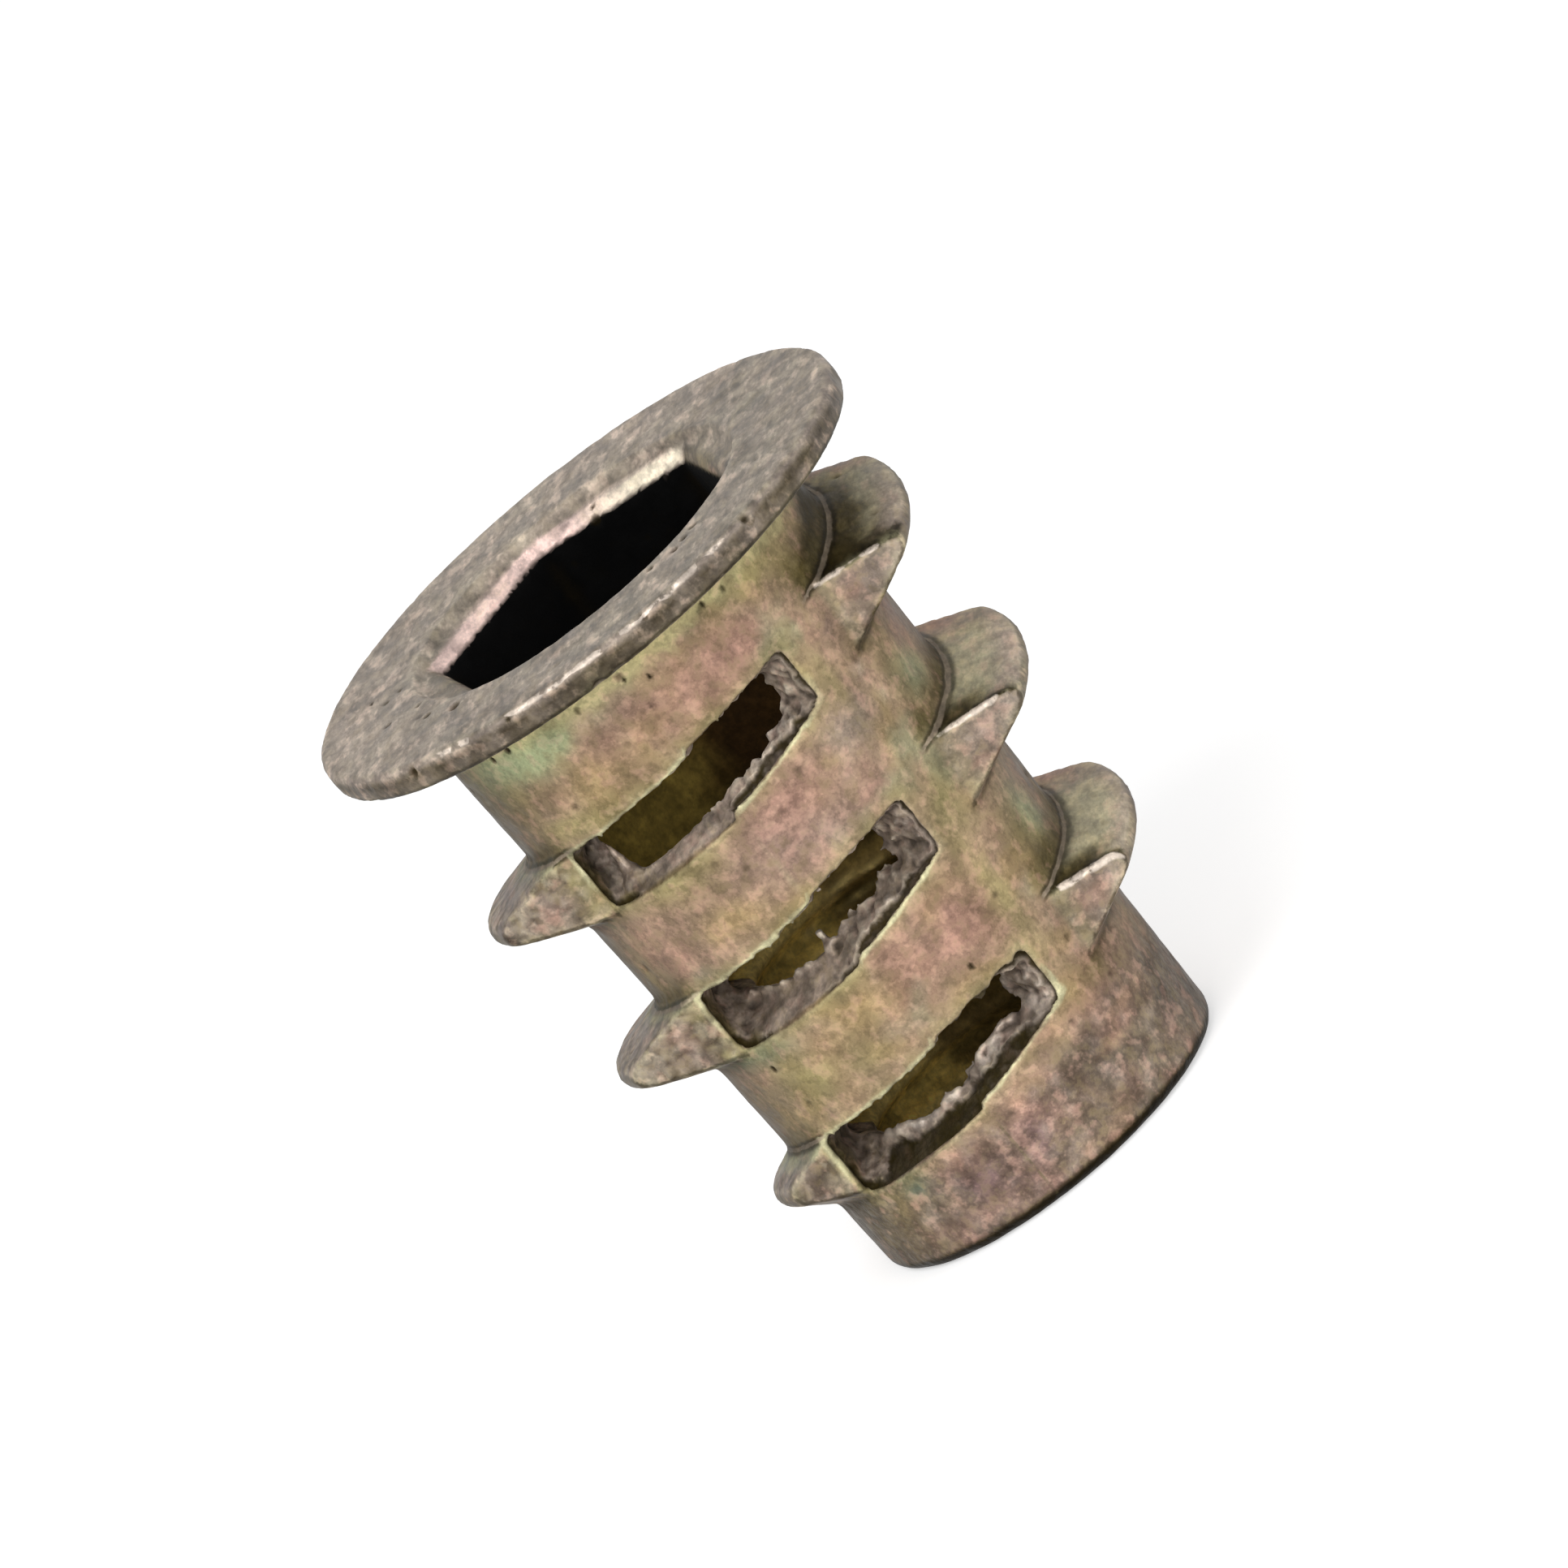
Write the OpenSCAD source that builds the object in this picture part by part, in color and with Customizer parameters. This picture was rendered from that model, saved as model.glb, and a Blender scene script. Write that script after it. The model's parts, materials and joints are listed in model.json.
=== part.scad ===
// Flanged hex-drive screw-in insert for wood, die-cast in zinc alloy as one piece.
// It stands on its plain lead-in end, with the flange on top. All sizes are in millimetres.
// Angles run anticlockwise seen from above, from +X; the front is -Y.

/* [Overall] */
// Height over everything, from the lead-in end to the top of the flange
total_h = 20; // [18:0.5:26]

/* [Flange] */
// Outer diameter of the flange
flange_d = 16.7; // [15.9:0.1:22]
// Thickness of the flange
flange_t = 0.82; // [0.7:0.02:1.6]
// Radius that rounds the rim, top and bottom
rim_r = 0.16; // [0.1:0.02:0.34]

/* [Barrel] */
// Barrel diameter just under the flange
barrel_top_d = 11.76; // [11.4:0.02:12.6]
// Barrel diameter at the lead-in end
barrel_end_d = 10.58; // [10.4:0.02:11.2]
// Radius of the rounded edge at the lead-in end
end_edge_r = 0.4; // [0.2:0.05:0.7]

/* [Drive socket and tapped hole] */
// Hex socket, across flats
hex_af = 8.2; // [8.1:0.02:8.4]
// Depth of the hex socket, from the flange's top
hex_depth = 8.6; // [6.5:0.1:10]
// Width of the bevel round the socket's mouth
hex_bevel = 0.3; // [0.1:0.02:0.4]
// Height of that bevel
hex_bevel_h = 0.36; // [0.2:0.02:0.6]
// Turn of the hex, from having a corner at +X
hex_turn = -14; // [-30:1:30]
// Diameter of the shallow round recess over the socket
mouth_d = 10.42; // [9.8:0.02:11.6]
// Depth of that recess
mouth_depth = 0.28; // [0.1:0.02:0.4]
// Diameter of the hole that is tapped
tap_drill_d = 6.8; // [5:0.1:7]
// Countersink at the tapped hole's two ends
tap_bevel = 0.5; // [0.2:0.05:0.6]

/* [Coarse outer thread] */
// Rise of the outer thread in one turn
pitch = 5.1; // [4.8:0.05:5.4]
// Number of turns, each with one rib on the right and one on the left
turns = 3; // [1:1:3]
// How far the first rib's crest lies under the flange's top, at +X
first_crest_drop = 3.9; // [3.6:0.05:4.4]
// How far a full rib stands out of the barrel
rib_h = 2.08; // [1.2:0.02:2.1]
// Height of a rib's rounded crest
crest_w = 0.72; // [0.3:0.02:0.8]
// Rib's half height at its root on the flange's side, for the ribs on the right
root_above = 0.84; // [0.6:0.02:1.1]
// The same on the lead-in side
root_below = 1.2; // [0.6:0.02:1.3]
// How much fatter the ribs on the left are, on each side
left_rib_extra = 0.1; // [0:0.02:0.2]
// How much lower the very last rib is than a full one
lead_in_drop = 1.0; // [0:0.05:1]

/* [Windows and pockets] */
// Height of a window at its seam, where its two halves meet
window_h = 2.04; // [1.5:0.05:2.2]
// Height of a window at its left end
window_left_h = 1.86; // [1.2:0.02:2.1]
// Height of a window at its right end
window_right_h = 1.66; // [1.2:0.02:2.1]
// How far a window's upper edge lies above the thread's own line
window_rise = 0.72; // [0.5:0.02:0.9]
// How far the upper edge steps up at the seam, on its right side
window_step = 0.16; // [0:0.02:0.4]
// Draft of a window's upper and lower walls
window_draft = 10; // [2:0.5:12]
// Wall left between the pockets on the back and the hex socket's corners
pocket_wall = 0.36; // [0.3:0.02:0.5]

/* [Hidden] */
$fn = 96;

eps = 0.01;
barrel_h = total_h - flange_t;                 // underside of the flange
socket_z = total_h - hex_depth;                // floor of the hex socket
hex_corner = hex_af / 2 / cos(30);             // axis to a corner of the hex
bevel_corner = hex_corner + hex_bevel / cos(30);  // axis to a corner of the bevel's upper edge
bevel_z = total_h - mouth_depth;               // upper edge of the bevel, floor of the recess
mouth_draft = 0.06;                            // how much narrower the recess is at its floor
pocket_floor = hex_corner + pocket_wall;       // axis to the floor of the pockets
rib_front = -36;                               // a right rib's front end, at its root
rib_back = 42;                                 // a right rib's back end, at its root
rib_lean = 12.4;                               // how far its end faces lean away from +X
rib_step = 5.5;                                // angle between a rib's sections
rib_overrun = 12;                              // swept past the end faces, then cut off
arc_points = 5;                                // points round a crest
sink = 0.6;                                    // depth of a rib's root inside the barrel
lead_from = 500;                               // turning angle where the crest starts to drop
lead_to = 900;                                 // turning angle of the last rib's middle
window_left = -138;                            // a window's two ends, at the barrel's surface
window_right = -53.5;
window_seam = -90;                             // where a window's two halves meet
left_lean = [24, 3];                           // how far its end walls lean in from +Y,
right_lean = [-51, -37];                       // at their lower and upper edges
core_out = 1.2;                                // a core's length outside the barrel
core_in = 2.2;                                 // and inside it, both measured along Y

// Barrel's radius at a height
function barrel_r(z) = (barrel_end_d + (barrel_top_d - barrel_end_d) * z / barrel_h) / 2;
// Height of the thread's line at an angle; it falls as the angle falls
function thread_z(a) = total_h - first_crest_drop + pitch * a / 360;
// How far the rib stands out at an angle: full at first, then lower towards the lead-in end
function stand_out(a) =
    rib_h - lead_in_drop * pow(max(0, (-a - lead_from) / (lead_to - lead_from)), 2);

// One section of a rib as [radius, height] pairs, from root to root over the crest
function rib_section(a, extra) =
    let (
        out = stand_out(a),
        share = 0.6 + 0.4 * out / rib_h,
        z = thread_z(a),
        r = barrel_r(z),
        above = (root_above + extra) * share,
        below = (root_below + extra) * share,
        tip_r = (crest_w + extra) / 2
    )
    concat(
        [[r - sink, z + above + 0.1], [r, z + above]],
        [for (i = [0:arc_points - 1])
            let (t = 75 - 150 * i / (arc_points - 1))
            [r + out - tip_r + tip_r * cos(t), z + tip_r * sin(t)]],
        [[r, z - below], [r - sink, z - below - 0.1]]
    );

// The triangles that close a ring of n points
function fan(n) = [for (i = [1:n - 2]) [0, i, i + 1]];

// A solid through rings of points, closed by the triangles "cap". All rings have the same
// number of points, in an order that runs clockwise seen from the first ring's side
module sweep(rings, cap) {
    n = len(rings[0]);
    last = len(rings) - 1;
    polyhedron(
        points = [for (ring = rings) for (p = ring) p],
        faces = concat(
            cap,
            [for (k = [0:last - 1]) for (i = [0:n - 1])
                let (j = (i + 1) % n)
                [k * n + j, k * n + i, (k + 1) * n + i]],
            [for (k = [0:last - 1]) for (i = [0:n - 1])
                let (j = (i + 1) % n)
                [k * n + j, (k + 1) * n + i, (k + 1) * n + j]],
            [for (t = cap) [last * n + t[0], last * n + t[2], last * n + t[1]]]
        )
    );
}

// Flange with a rounded rim, its underside at z = 0
module flange() {
    rotate_extrude() {
        square([flange_d / 2 - rim_r, flange_t]);
        translate([0, rim_r]) square([flange_d / 2, flange_t - 2 * rim_r]);
        for (z = [rim_r, flange_t - rim_r])
            translate([flange_d / 2 - rim_r, z]) circle(rim_r);
    }
}

// Tapered barrel with a rounded edge at its lead-in end
module barrel() {
    rotate_extrude() {
        polygon([
            [0, 0], [barrel_end_d / 2 - end_edge_r, 0], [barrel_r(end_edge_r), end_edge_r],
            [barrel_r(barrel_h), barrel_h], [barrel_r(barrel_h), barrel_h + rim_r],
            [0, barrel_h + rim_r]
        ]);
        translate([barrel_r(end_edge_r) - end_edge_r, end_edge_r]) circle(end_edge_r);
    }
}

// Everything behind a rib's end face: a big block beyond a plane through the rib's root
module beyond(a, lean, side) {
    big = 3 * total_h;
    r = barrel_r(total_h / 2);
    translate([r * cos(a), r * sin(a), 0])
        rotate([0, 0, lean])
            translate([-big / 2, side > 0 ? 0 : -big, -big / 2])
                cube(big);
}

// One rib of the outer thread, turned back by an angle, with flat leaning end faces
module rib(turned, extra) {
    span = rib_back - rib_front + 2 * rib_overrun;
    steps = ceil(span / rib_step);
    difference() {
        sweep([for (k = [0:steps])
            let (a = rib_front - rib_overrun + span * k / steps - turned)
            [for (p = rib_section(a, extra)) [p[0] * cos(a), p[0] * sin(a), p[1]]]],
            fan(arc_points + 4));
        rotate([0, 0, -turned]) {
            beyond(rib_front, rib_lean, -1);
            beyond(rib_back, -rib_lean, 1);
        }
    }
}

// One end of a casting core: the barrel's surface is at [x, y] there and the core goes "depth"
// deep. "lean" and "z" hold the leans and heights of its lower and upper edge, and "slope" is
// how much its edges rise along X
function core_end(x, y, depth, lean, z, slope) =
    [for (corner = [[-core_out, 0], [0, 0], [depth, 0], [depth, 1], [0, 1], [-core_out, 1]])
        let (
            inward = corner[0],
            upper = corner[1],
            dx = inward * tan(inward < 0 ? lean[0] : lean[upper]),
            narrowing = inward * tan(window_draft)
        )
        [x + dx, y + inward, z[upper] + slope * dx + (upper ? -narrowing : narrowing)]];

// One core, between two such ends
module core(a, b) {
    sweep([a, b], [[0, 1, 4], [0, 4, 5], [1, 2, 3], [1, 3, 4]]);
}

// The two cores that make one window, at the front of turn k
module window_cores(k) {
    z_seam = thread_z(window_seam - 360 * k) + window_rise;
    z_left = thread_z(window_left - 360 * k) + window_rise;
    z_right = thread_z(window_right - 360 * k) + window_rise;
    r = barrel_r(z_seam - window_h / 2);
    left = [r * cos(window_left), r * sin(window_left)];
    right = [r * cos(window_right), r * sin(window_right)];
    seam_depth = left[1] + core_in + r;
    core(
        core_end(left[0], left[1], core_in, left_lean,
            [z_left - window_left_h, z_left], (z_left - z_seam) / left[0]),
        core_end(0, -r, seam_depth, [0, 0], [z_seam - window_h, z_seam], 0));
    core(
        core_end(0, -r, seam_depth, [0, 0],
            [z_seam + window_step - window_h, z_seam + window_step], 0),
        core_end(right[0], right[1], core_in, right_lean,
            [z_right - window_right_h, z_right], (z_right - z_seam) / right[0]));
}

// The closed pocket at the back, half a turn above the window of turn k
module pocket_core(k) {
    rotate([0, 0, 180])
        translate([0, 0, pitch / 2])
            intersection() {
                window_cores(k);
                translate([-total_h, -2 * total_h - pocket_floor, 0])
                    cube([2 * total_h, 2 * total_h, total_h]);
            }
}

// Hex socket with a bevelled mouth, up through the recess
module hex_socket() {
    rings = [
        [hex_corner, socket_z], [hex_corner, bevel_z - hex_bevel_h],
        [bevel_corner, bevel_z], [bevel_corner, total_h + eps]
    ];
    rotate([0, 0, hex_turn])
        polyhedron(
            points = [for (ring = rings) for (i = [0:5])
                [ring[0] * cos(60 * i), ring[0] * sin(60 * i), ring[1]]],
            faces = concat(
                [[0, 1, 2, 3, 4, 5], [23, 22, 21, 20, 19, 18]],
                [for (k = [0, 6, 12]) for (i = [0:5])
                    let (j = (i + 1) % 6)
                    [k + j, k + i, k + 6 + i, k + 6 + j]]
            )
        );
}

// Shallow round recess over the socket
module mouth() {
    translate([0, 0, bevel_z])
        cylinder(r1 = mouth_d / 2 - mouth_draft, r2 = mouth_d / 2, h = mouth_depth + eps);
}

// Hole for tapping, countersunk at both ends
module tap_hole() {
    r = tap_drill_d / 2;
    translate([0, 0, -1]) cylinder(r = r, h = socket_z + 2);
    translate([0, 0, -eps]) cylinder(r1 = r + tap_bevel + eps, r2 = r, h = tap_bevel + eps);
    translate([0, 0, socket_z - tap_bevel])
        cylinder(r1 = r, r2 = r + tap_bevel + eps, h = tap_bevel + eps);
}

// The whole casting
module threaded_insert() {
    color([0.63, 0.53, 0.42])
    difference() {
        union() {
            translate([0, 0, barrel_h]) flange();
            barrel();
            for (k = [0:turns - 1]) {
                rib(360 * k, 0);
                rib(360 * k + 180, left_rib_extra);
            }
        }
        tap_hole();
        hex_socket();
        mouth();
        for (k = [0:turns - 1]) {
            window_cores(k);
            pocket_core(k);
        }
    }
}

threaded_insert();
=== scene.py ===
# %% [markdown]
# # A screw-in insert for wood, cast in zinc and passivated yellow
# The part is a hollow screw of die-cast zinc: a thin flange, a tapered barrel with a coarse outer
# thread in six separate ribs, a hex socket for the key, a tapped hole below it, and windows that
# the casting's side cores leave in the barrel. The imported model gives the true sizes. This script
# gives it the skin of a real casting and its finish, and it changes none of the sizes.

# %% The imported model
import json
import math

import bmesh
import bpy
import numpy as np
from mathutils import Matrix, Vector, kdtree, noise


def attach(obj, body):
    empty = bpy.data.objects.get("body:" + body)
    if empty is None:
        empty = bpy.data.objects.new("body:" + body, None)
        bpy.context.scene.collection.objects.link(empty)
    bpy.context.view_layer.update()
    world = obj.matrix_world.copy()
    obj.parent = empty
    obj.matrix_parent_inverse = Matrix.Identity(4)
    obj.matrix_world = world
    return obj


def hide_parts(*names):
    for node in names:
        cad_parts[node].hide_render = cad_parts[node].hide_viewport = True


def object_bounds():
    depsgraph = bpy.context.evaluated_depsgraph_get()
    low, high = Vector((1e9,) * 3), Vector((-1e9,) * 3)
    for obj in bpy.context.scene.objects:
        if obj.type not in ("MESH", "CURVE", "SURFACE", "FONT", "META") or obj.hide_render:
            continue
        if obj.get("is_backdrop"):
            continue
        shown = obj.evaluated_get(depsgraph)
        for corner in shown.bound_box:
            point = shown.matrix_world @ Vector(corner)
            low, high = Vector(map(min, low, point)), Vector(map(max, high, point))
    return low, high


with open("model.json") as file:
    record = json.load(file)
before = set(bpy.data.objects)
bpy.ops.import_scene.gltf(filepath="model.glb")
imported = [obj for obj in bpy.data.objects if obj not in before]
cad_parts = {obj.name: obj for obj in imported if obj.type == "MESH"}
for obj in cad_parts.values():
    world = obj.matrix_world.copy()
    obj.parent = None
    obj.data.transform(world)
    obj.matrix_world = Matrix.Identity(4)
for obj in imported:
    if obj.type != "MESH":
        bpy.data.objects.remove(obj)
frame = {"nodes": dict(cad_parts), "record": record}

cad_low, cad_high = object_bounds()
casting_node = frame["nodes"]["threaded_insert"]
print("CAD box in mm:", [round(v * 1000, 2) for v in (*cad_low, *cad_high)])

# %% [markdown]
# ## Working in millimetres
# A metre is a clumsy unit for a part of 20 mm, and tools such as the voxel remesher lose precision
# when every length is a thousandth. So the casting is worked in millimetres and made small at the
# very end. The few sizes below are those of the solid model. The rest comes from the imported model's
# box and its mounts.

# %% Sizes of the casting
MM = 0.001
total_h = cad_high.z / MM
flange_r = cad_high.x / MM
mounts = {mount["name"]: mount for mount in frame["record"]["mounts"]}
drill_r = mounts["tapped_hole"]["dims"]["r_mm"]
flange_under = mounts["flange_underside"]["pos_m"][2] / MM

rim_r = 0.16            # radius that rounds the flange's rim
barrel_top_r = 5.88     # barrel's radius just under the flange
barrel_end_r = 5.29     # and at the lead-in end
socket_floor = 11.4     # height of the hex socket's floor
recess_floor = 19.72    # height of the floor of the round recess over the socket
recess_r = 5.21         # and its radius
coarse_pitch = 5.1      # rise of the outer thread in one turn
first_crest = 16.1      # height of the first rib's crest, at +X
root_above = 0.84       # a rib's half height at its root, on the flange's side
window_rise = 0.72      # how far a window's upper edge lies above the thread's line
window_step = 0.16      # how far that edge steps up at the seam, on its right side
window_ends = {-138: 1.86, -90: 2.04, -53.5: 1.66}     # a window's height at its left end, at its
#                                                        seam and at its right end, by their angles


def barrel_r(z):
    """Radius of the tapered barrel at a height."""
    return barrel_end_r + (barrel_top_r - barrel_end_r) * z / flange_under


def thread_z(angle, turn=0):
    """Height of the coarse thread's line at an angle in degrees, on a given turn."""
    return first_crest + coarse_pitch * (angle / 360 - turn)


def window_outline(turn):
    """x of a window's left end, seam and right end, with its upper and lower heights there."""
    left, seam, right = window_ends
    r = barrel_r(thread_z(seam, turn) + window_rise - window_ends[seam] / 2)
    across = [r * math.cos(math.radians(left)), -1e-3, 1e-3, r * math.cos(math.radians(right))]
    upper = [thread_z(a, turn) + window_rise for a in (left, seam, seam, right)]
    upper[2] += window_step
    lower = [high - window_ends[a] for high, a in zip(upper, (left, seam, seam, right))]
    return across, upper, lower


print(f"flange radius {flange_r:.2f} mm, its underside at {flange_under:.2f} mm of {total_h:.2f} mm")

# %% [markdown]
# ## A copy of the solid
# The solid model's mesh is a loose heap of triangles, where every face has its own corners. Tools
# that need a closed surface can't use it like that, so a copy is made and its doubles are merged.
# The node itself stays as it is, and the finished copy will stand for it.

# %% Copy and close the mesh
MERGE_WITHIN = 0.002     # points closer than this become one, in mm
SHORTEST_EDGE = 0.0005


def copy_in_mm(node):
    """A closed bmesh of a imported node, in millimetres."""
    bm = bmesh.new()
    bm.from_mesh(node.data)
    bmesh.ops.scale(bm, vec=(1 / MM,) * 3, verts=bm.verts)
    bmesh.ops.remove_doubles(bm, verts=bm.verts, dist=MERGE_WITHIN)
    bmesh.ops.dissolve_degenerate(bm, edges=bm.edges, dist=SHORTEST_EDGE)
    return bm


def open_edges(bm):
    """How many edges don't lie between exactly two faces."""
    return sum(1 for edge in bm.edges if len(edge.link_faces) != 2)


def new_piece(name, bm):
    """An object in the scene that holds a bmesh's surface."""
    mesh = bpy.data.meshes.new(name)
    bm.to_mesh(mesh)
    bm.free()
    piece = bpy.data.objects.new(name, mesh)
    bpy.context.scene.collection.objects.link(piece)
    return piece


solid = copy_in_mm(casting_node)
print(f"the copy has {len(solid.verts)} points and {open_edges(solid)} open edges")

# %% [markdown]
# ## The fine thread
# The hole is tapped M8 with a pitch of 1.25 mm. A tap cuts a groove whose section is a blunt wedge,
# so the cutter here is that section, wound up the axis as a screw: the spin operator can lift its
# shape by a small step each time it turns it. A Boolean then takes the groove out of the wall.
# Carving it in a bump map would be cheaper, but the windows show the thread from the side, where
# only real shape looks right.

# %% Wind the cutter
FINE_PITCH = 1.25
GROOVE_DEEP_R = 4.03     # radius at the bottom of the groove
GROOVE_OPEN = 0.57       # half of the groove's width at the hole's wall
GROOVE_FLAT = 0.1        # and at its bottom
STEPS_PER_TURN = 36
CUTTER_OVERLAP = 0.1     # how far the cutter reaches into the open hole
RUN_OUT = 0.6            # how far it runs past the lead-in end
RUN_IN = 0.25            # and past the socket's floor


def wind_cutter(from_z, to_z):
    """A screw-shaped solid that fills the groove of the fine thread."""
    bm = bmesh.new()
    inner_r = drill_r - CUTTER_OVERLAP
    section = [(inner_r, -GROOVE_OPEN), (GROOVE_DEEP_R, -GROOVE_FLAT),
               (GROOVE_DEEP_R, GROOVE_FLAT), (inner_r, GROOVE_OPEN)]
    bm.faces.new([bm.verts.new((r, 0, from_z + z)) for r, z in section])
    turns = (to_z - from_z) / FINE_PITCH
    steps = round(turns * STEPS_PER_TURN)
    bmesh.ops.spin(
        bm, geom=bm.verts[:] + bm.edges[:] + bm.faces[:], cent=(0, 0, 0), axis=(0, 0, 1),
        angle=math.tau * turns, steps=steps, dvec=(0, 0, FINE_PITCH / STEPS_PER_TURN),
        use_merge=False, use_duplicate=False)
    bmesh.ops.recalc_face_normals(bm, faces=bm.faces)
    return bm


cutter_mesh = wind_cutter(-RUN_OUT, socket_floor + RUN_IN)
print(f"the cutter has {len(cutter_mesh.faces)} faces and {open_edges(cutter_mesh)} open edges")

# %% [markdown]
# ## Flash and broken skin
# Where two parts of a die meet, a little zinc creeps into the gap and freezes as a thin ragged lip.
# On this casting it stands on the inner edges of the windows, where the side cores met the middle
# core, and on the upper edge of the ribs' end faces. The solid's own edges say where that is, so
# they are picked by the directions of their two faces, and grains of metal are strung along them.
# More grains lie on the windows' walls, which tore when the cores were pulled, most of all at their
# right ends. A crumb on the middle window's flash and a few lumps at the top window's left end have
# places of their own. The remesher below melts all of them into the casting.

# %% Find the edges that carry flash
SHARP = math.radians(30)
INNER_DEPTH = 0.7    # how far under the barrel's surface the windows' inner edges lie at least, in mm


def radius_of(point):
    """Distance of a point from the insert's axis."""
    return math.hypot(point.x, point.y)


def inner_window_edge(edge, wall, sill):
    """True for an edge between a window's sill and the wall of the hole or the socket."""
    ends = [vert.co for vert in edge.verts]
    inside = all(radius_of(p) < barrel_r(p.z) - INNER_DEPTH and p.y < 0 for p in ends)
    on_floor = all(abs(p.z - socket_floor) < 0.05 for p in ends)
    return inside and not on_floor and sill.z > 0.9 and abs(wall.z) < 0.3


def on_front_end(edge, end_face):
    """True for an edge outside the barrel, on the front end face of a rib."""
    outside = all(radius_of(v.co) > barrel_r(v.co.z) + 0.02 and v.co.y < 0 for v in edge.verts)
    return outside and end_face.y < -0.6 and abs(end_face.z) < 0.2


def rib_end_edge(edge, end_face, flank):
    """True for the upper edge of a right rib's front end face."""
    in_reach = all(v.co.x > 0 and v.co.z < flange_under - 0.05 for v in edge.verts)
    return in_reach and on_front_end(edge, end_face) and flank.z > 0.3


def rib_lower_edge(edge, flank, end_face):
    """True for the lower edge of any rib's front end face."""
    return on_front_end(edge, end_face) and flank.z < -0.3


def picked_edges(bm, test):
    """The sharp edges that pass a test, as pairs of points."""
    pairs = []
    for edge in bm.edges:
        if len(edge.link_faces) != 2 or edge.calc_face_angle(0) < SHARP:
            continue
        low_face, high_face = sorted((face.normal for face in edge.link_faces), key=lambda n: n.z)
        if test(edge, low_face, high_face):
            pairs.append(tuple(vert.co.copy() for vert in edge.verts))
    return pairs


bmesh.ops.recalc_face_normals(solid, faces=solid.faces)
sill_pairs = picked_edges(solid, inner_window_edge)
rib_pairs = picked_edges(solid, rib_end_edge)
under_pairs = picked_edges(solid, rib_lower_edge)
print(f"flash on {len(sill_pairs)} window edges and {len(rib_pairs)} rib edges")

# %% Find the torn walls of the windows
WINDOWS = 3
FAR = 9.0        # stands for no window near, in mm


def from_windows(across, height):
    """How far places lie outside the outline of the nearest window, seen from the front, in mm."""
    nearest = np.full(np.shape(across), FAR)
    for turn in range(WINDOWS):
        corners, upper, lower = window_outline(turn)
        beside = np.maximum(corners[0] - across, across - corners[-1])
        over = height - np.interp(across, corners, upper)
        under = np.interp(across, corners, lower) - height
        nearest = np.minimum(nearest, np.maximum(beside, np.maximum(over, under)))
    return nearest


def lumpiness(across):
    """How rough the torn metal is: most at the windows' right ends, and some at their left ones."""
    return 0.3 + 0.7 * np.clip((across + 3.5) / 5, 0, 1) + 0.5 * np.clip(-across - 3, 0, 1)


def torn_faces(bm):
    """The sills and the end walls of the windows."""
    faces = []
    for face in bm.faces:
        middle = face.calc_center_median()
        r = radius_of(middle)
        in_wall = drill_r + 0.15 < r < barrel_r(middle.z) - 0.1
        if not in_wall or middle.y > 0 or from_windows(middle.x, middle.z) > 0.05:
            continue
        if face.normal.z > 0.8 or (abs(face.normal.z) < 0.4 and r > drill_r + 0.3):
            faces.append(face)
    return faces


torn = [(face.calc_area(), [vert.co.copy() for vert in face.verts]) for face in torn_faces(solid)]
print(f"{len(torn)} faces of the windows are torn, {sum(area for area, _ in torn):.1f} mm2")

# %% Tools that place grains
import random

dice = random.Random(11)


def add_grain(bm, place, size, stretch=(1, 1, 1)):
    """One small lump of metal: a rough ball, stretched and turned at random."""
    turn = Matrix.Rotation(dice.uniform(0, math.tau), 4, "Z")
    shape = Matrix.Translation(place) @ turn @ Matrix.Diagonal((*(size * s for s in stretch), 1))
    bmesh.ops.create_icosphere(bm, subdivisions=1, radius=1, matrix=shape)


def string_grains(bm, pairs, spacing, sizes, outward=0.0, lift=0.0, stretch=(1, 1, 1)):
    """Grains along a list of edges, each a little off the edge and of another size."""
    for a, b in pairs:
        for _ in range(max(1, round((b - a).length / spacing))):
            place = a.lerp(b, dice.random())
            swell = 0.5 + noise.noise(place * 1.9 + Vector((3, 1, 7)))
            size = max(0.3, min(1, swell)) * dice.uniform(*sizes)
            place += Vector((place.x, place.y, 0)).normalized() * outward
            place.z += lift * size
            add_grain(bm, place, size, stretch)


def in_window(pairs, turn):
    """The edges that belong to the window on a turn."""
    middle = thread_z(-90, turn) - 0.5
    return [pair for pair in pairs if abs(pair[0].z - middle) < coarse_pitch / 2]


def upper_edge(turn, left, right):
    """The upper edge of a window on the barrel between two places along x, as pairs of points."""
    corners, upper, _ = window_outline(turn)
    along = np.linspace(max(left, corners[0]), min(right, corners[-1]), 25)
    heights = np.interp(along, corners, upper)
    places = [Vector((a, -math.sqrt(barrel_r(h) ** 2 - a * a), h)) for a, h in zip(along, heights)]
    return list(zip(places, places[1:]))


def strew_grains(bm, faces, per_mm2, sizes):
    """Grains scattered over a list of faces, more and larger ones where the metal is lumpy."""
    for area, corners in faces:
        count = area * per_mm2
        for _ in range(int(count) + (dice.random() < count % 1)):
            u, v = sorted((dice.random(), dice.random()))
            place = corners[0] * u + corners[1] * (v - u) + corners[2] * (1 - v)
            lumpy = float(lumpiness(place.x))
            well_inside = radius_of(place) < barrel_r(place.z) - 0.45
            if well_inside and dice.random() < lumpy:
                add_grain(bm, place, lumpy * dice.uniform(*sizes), (1, 0.8, 0.7))


print(f"the top window's upper edge runs through {len(upper_edge(0, -4, 4))} pieces")

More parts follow.
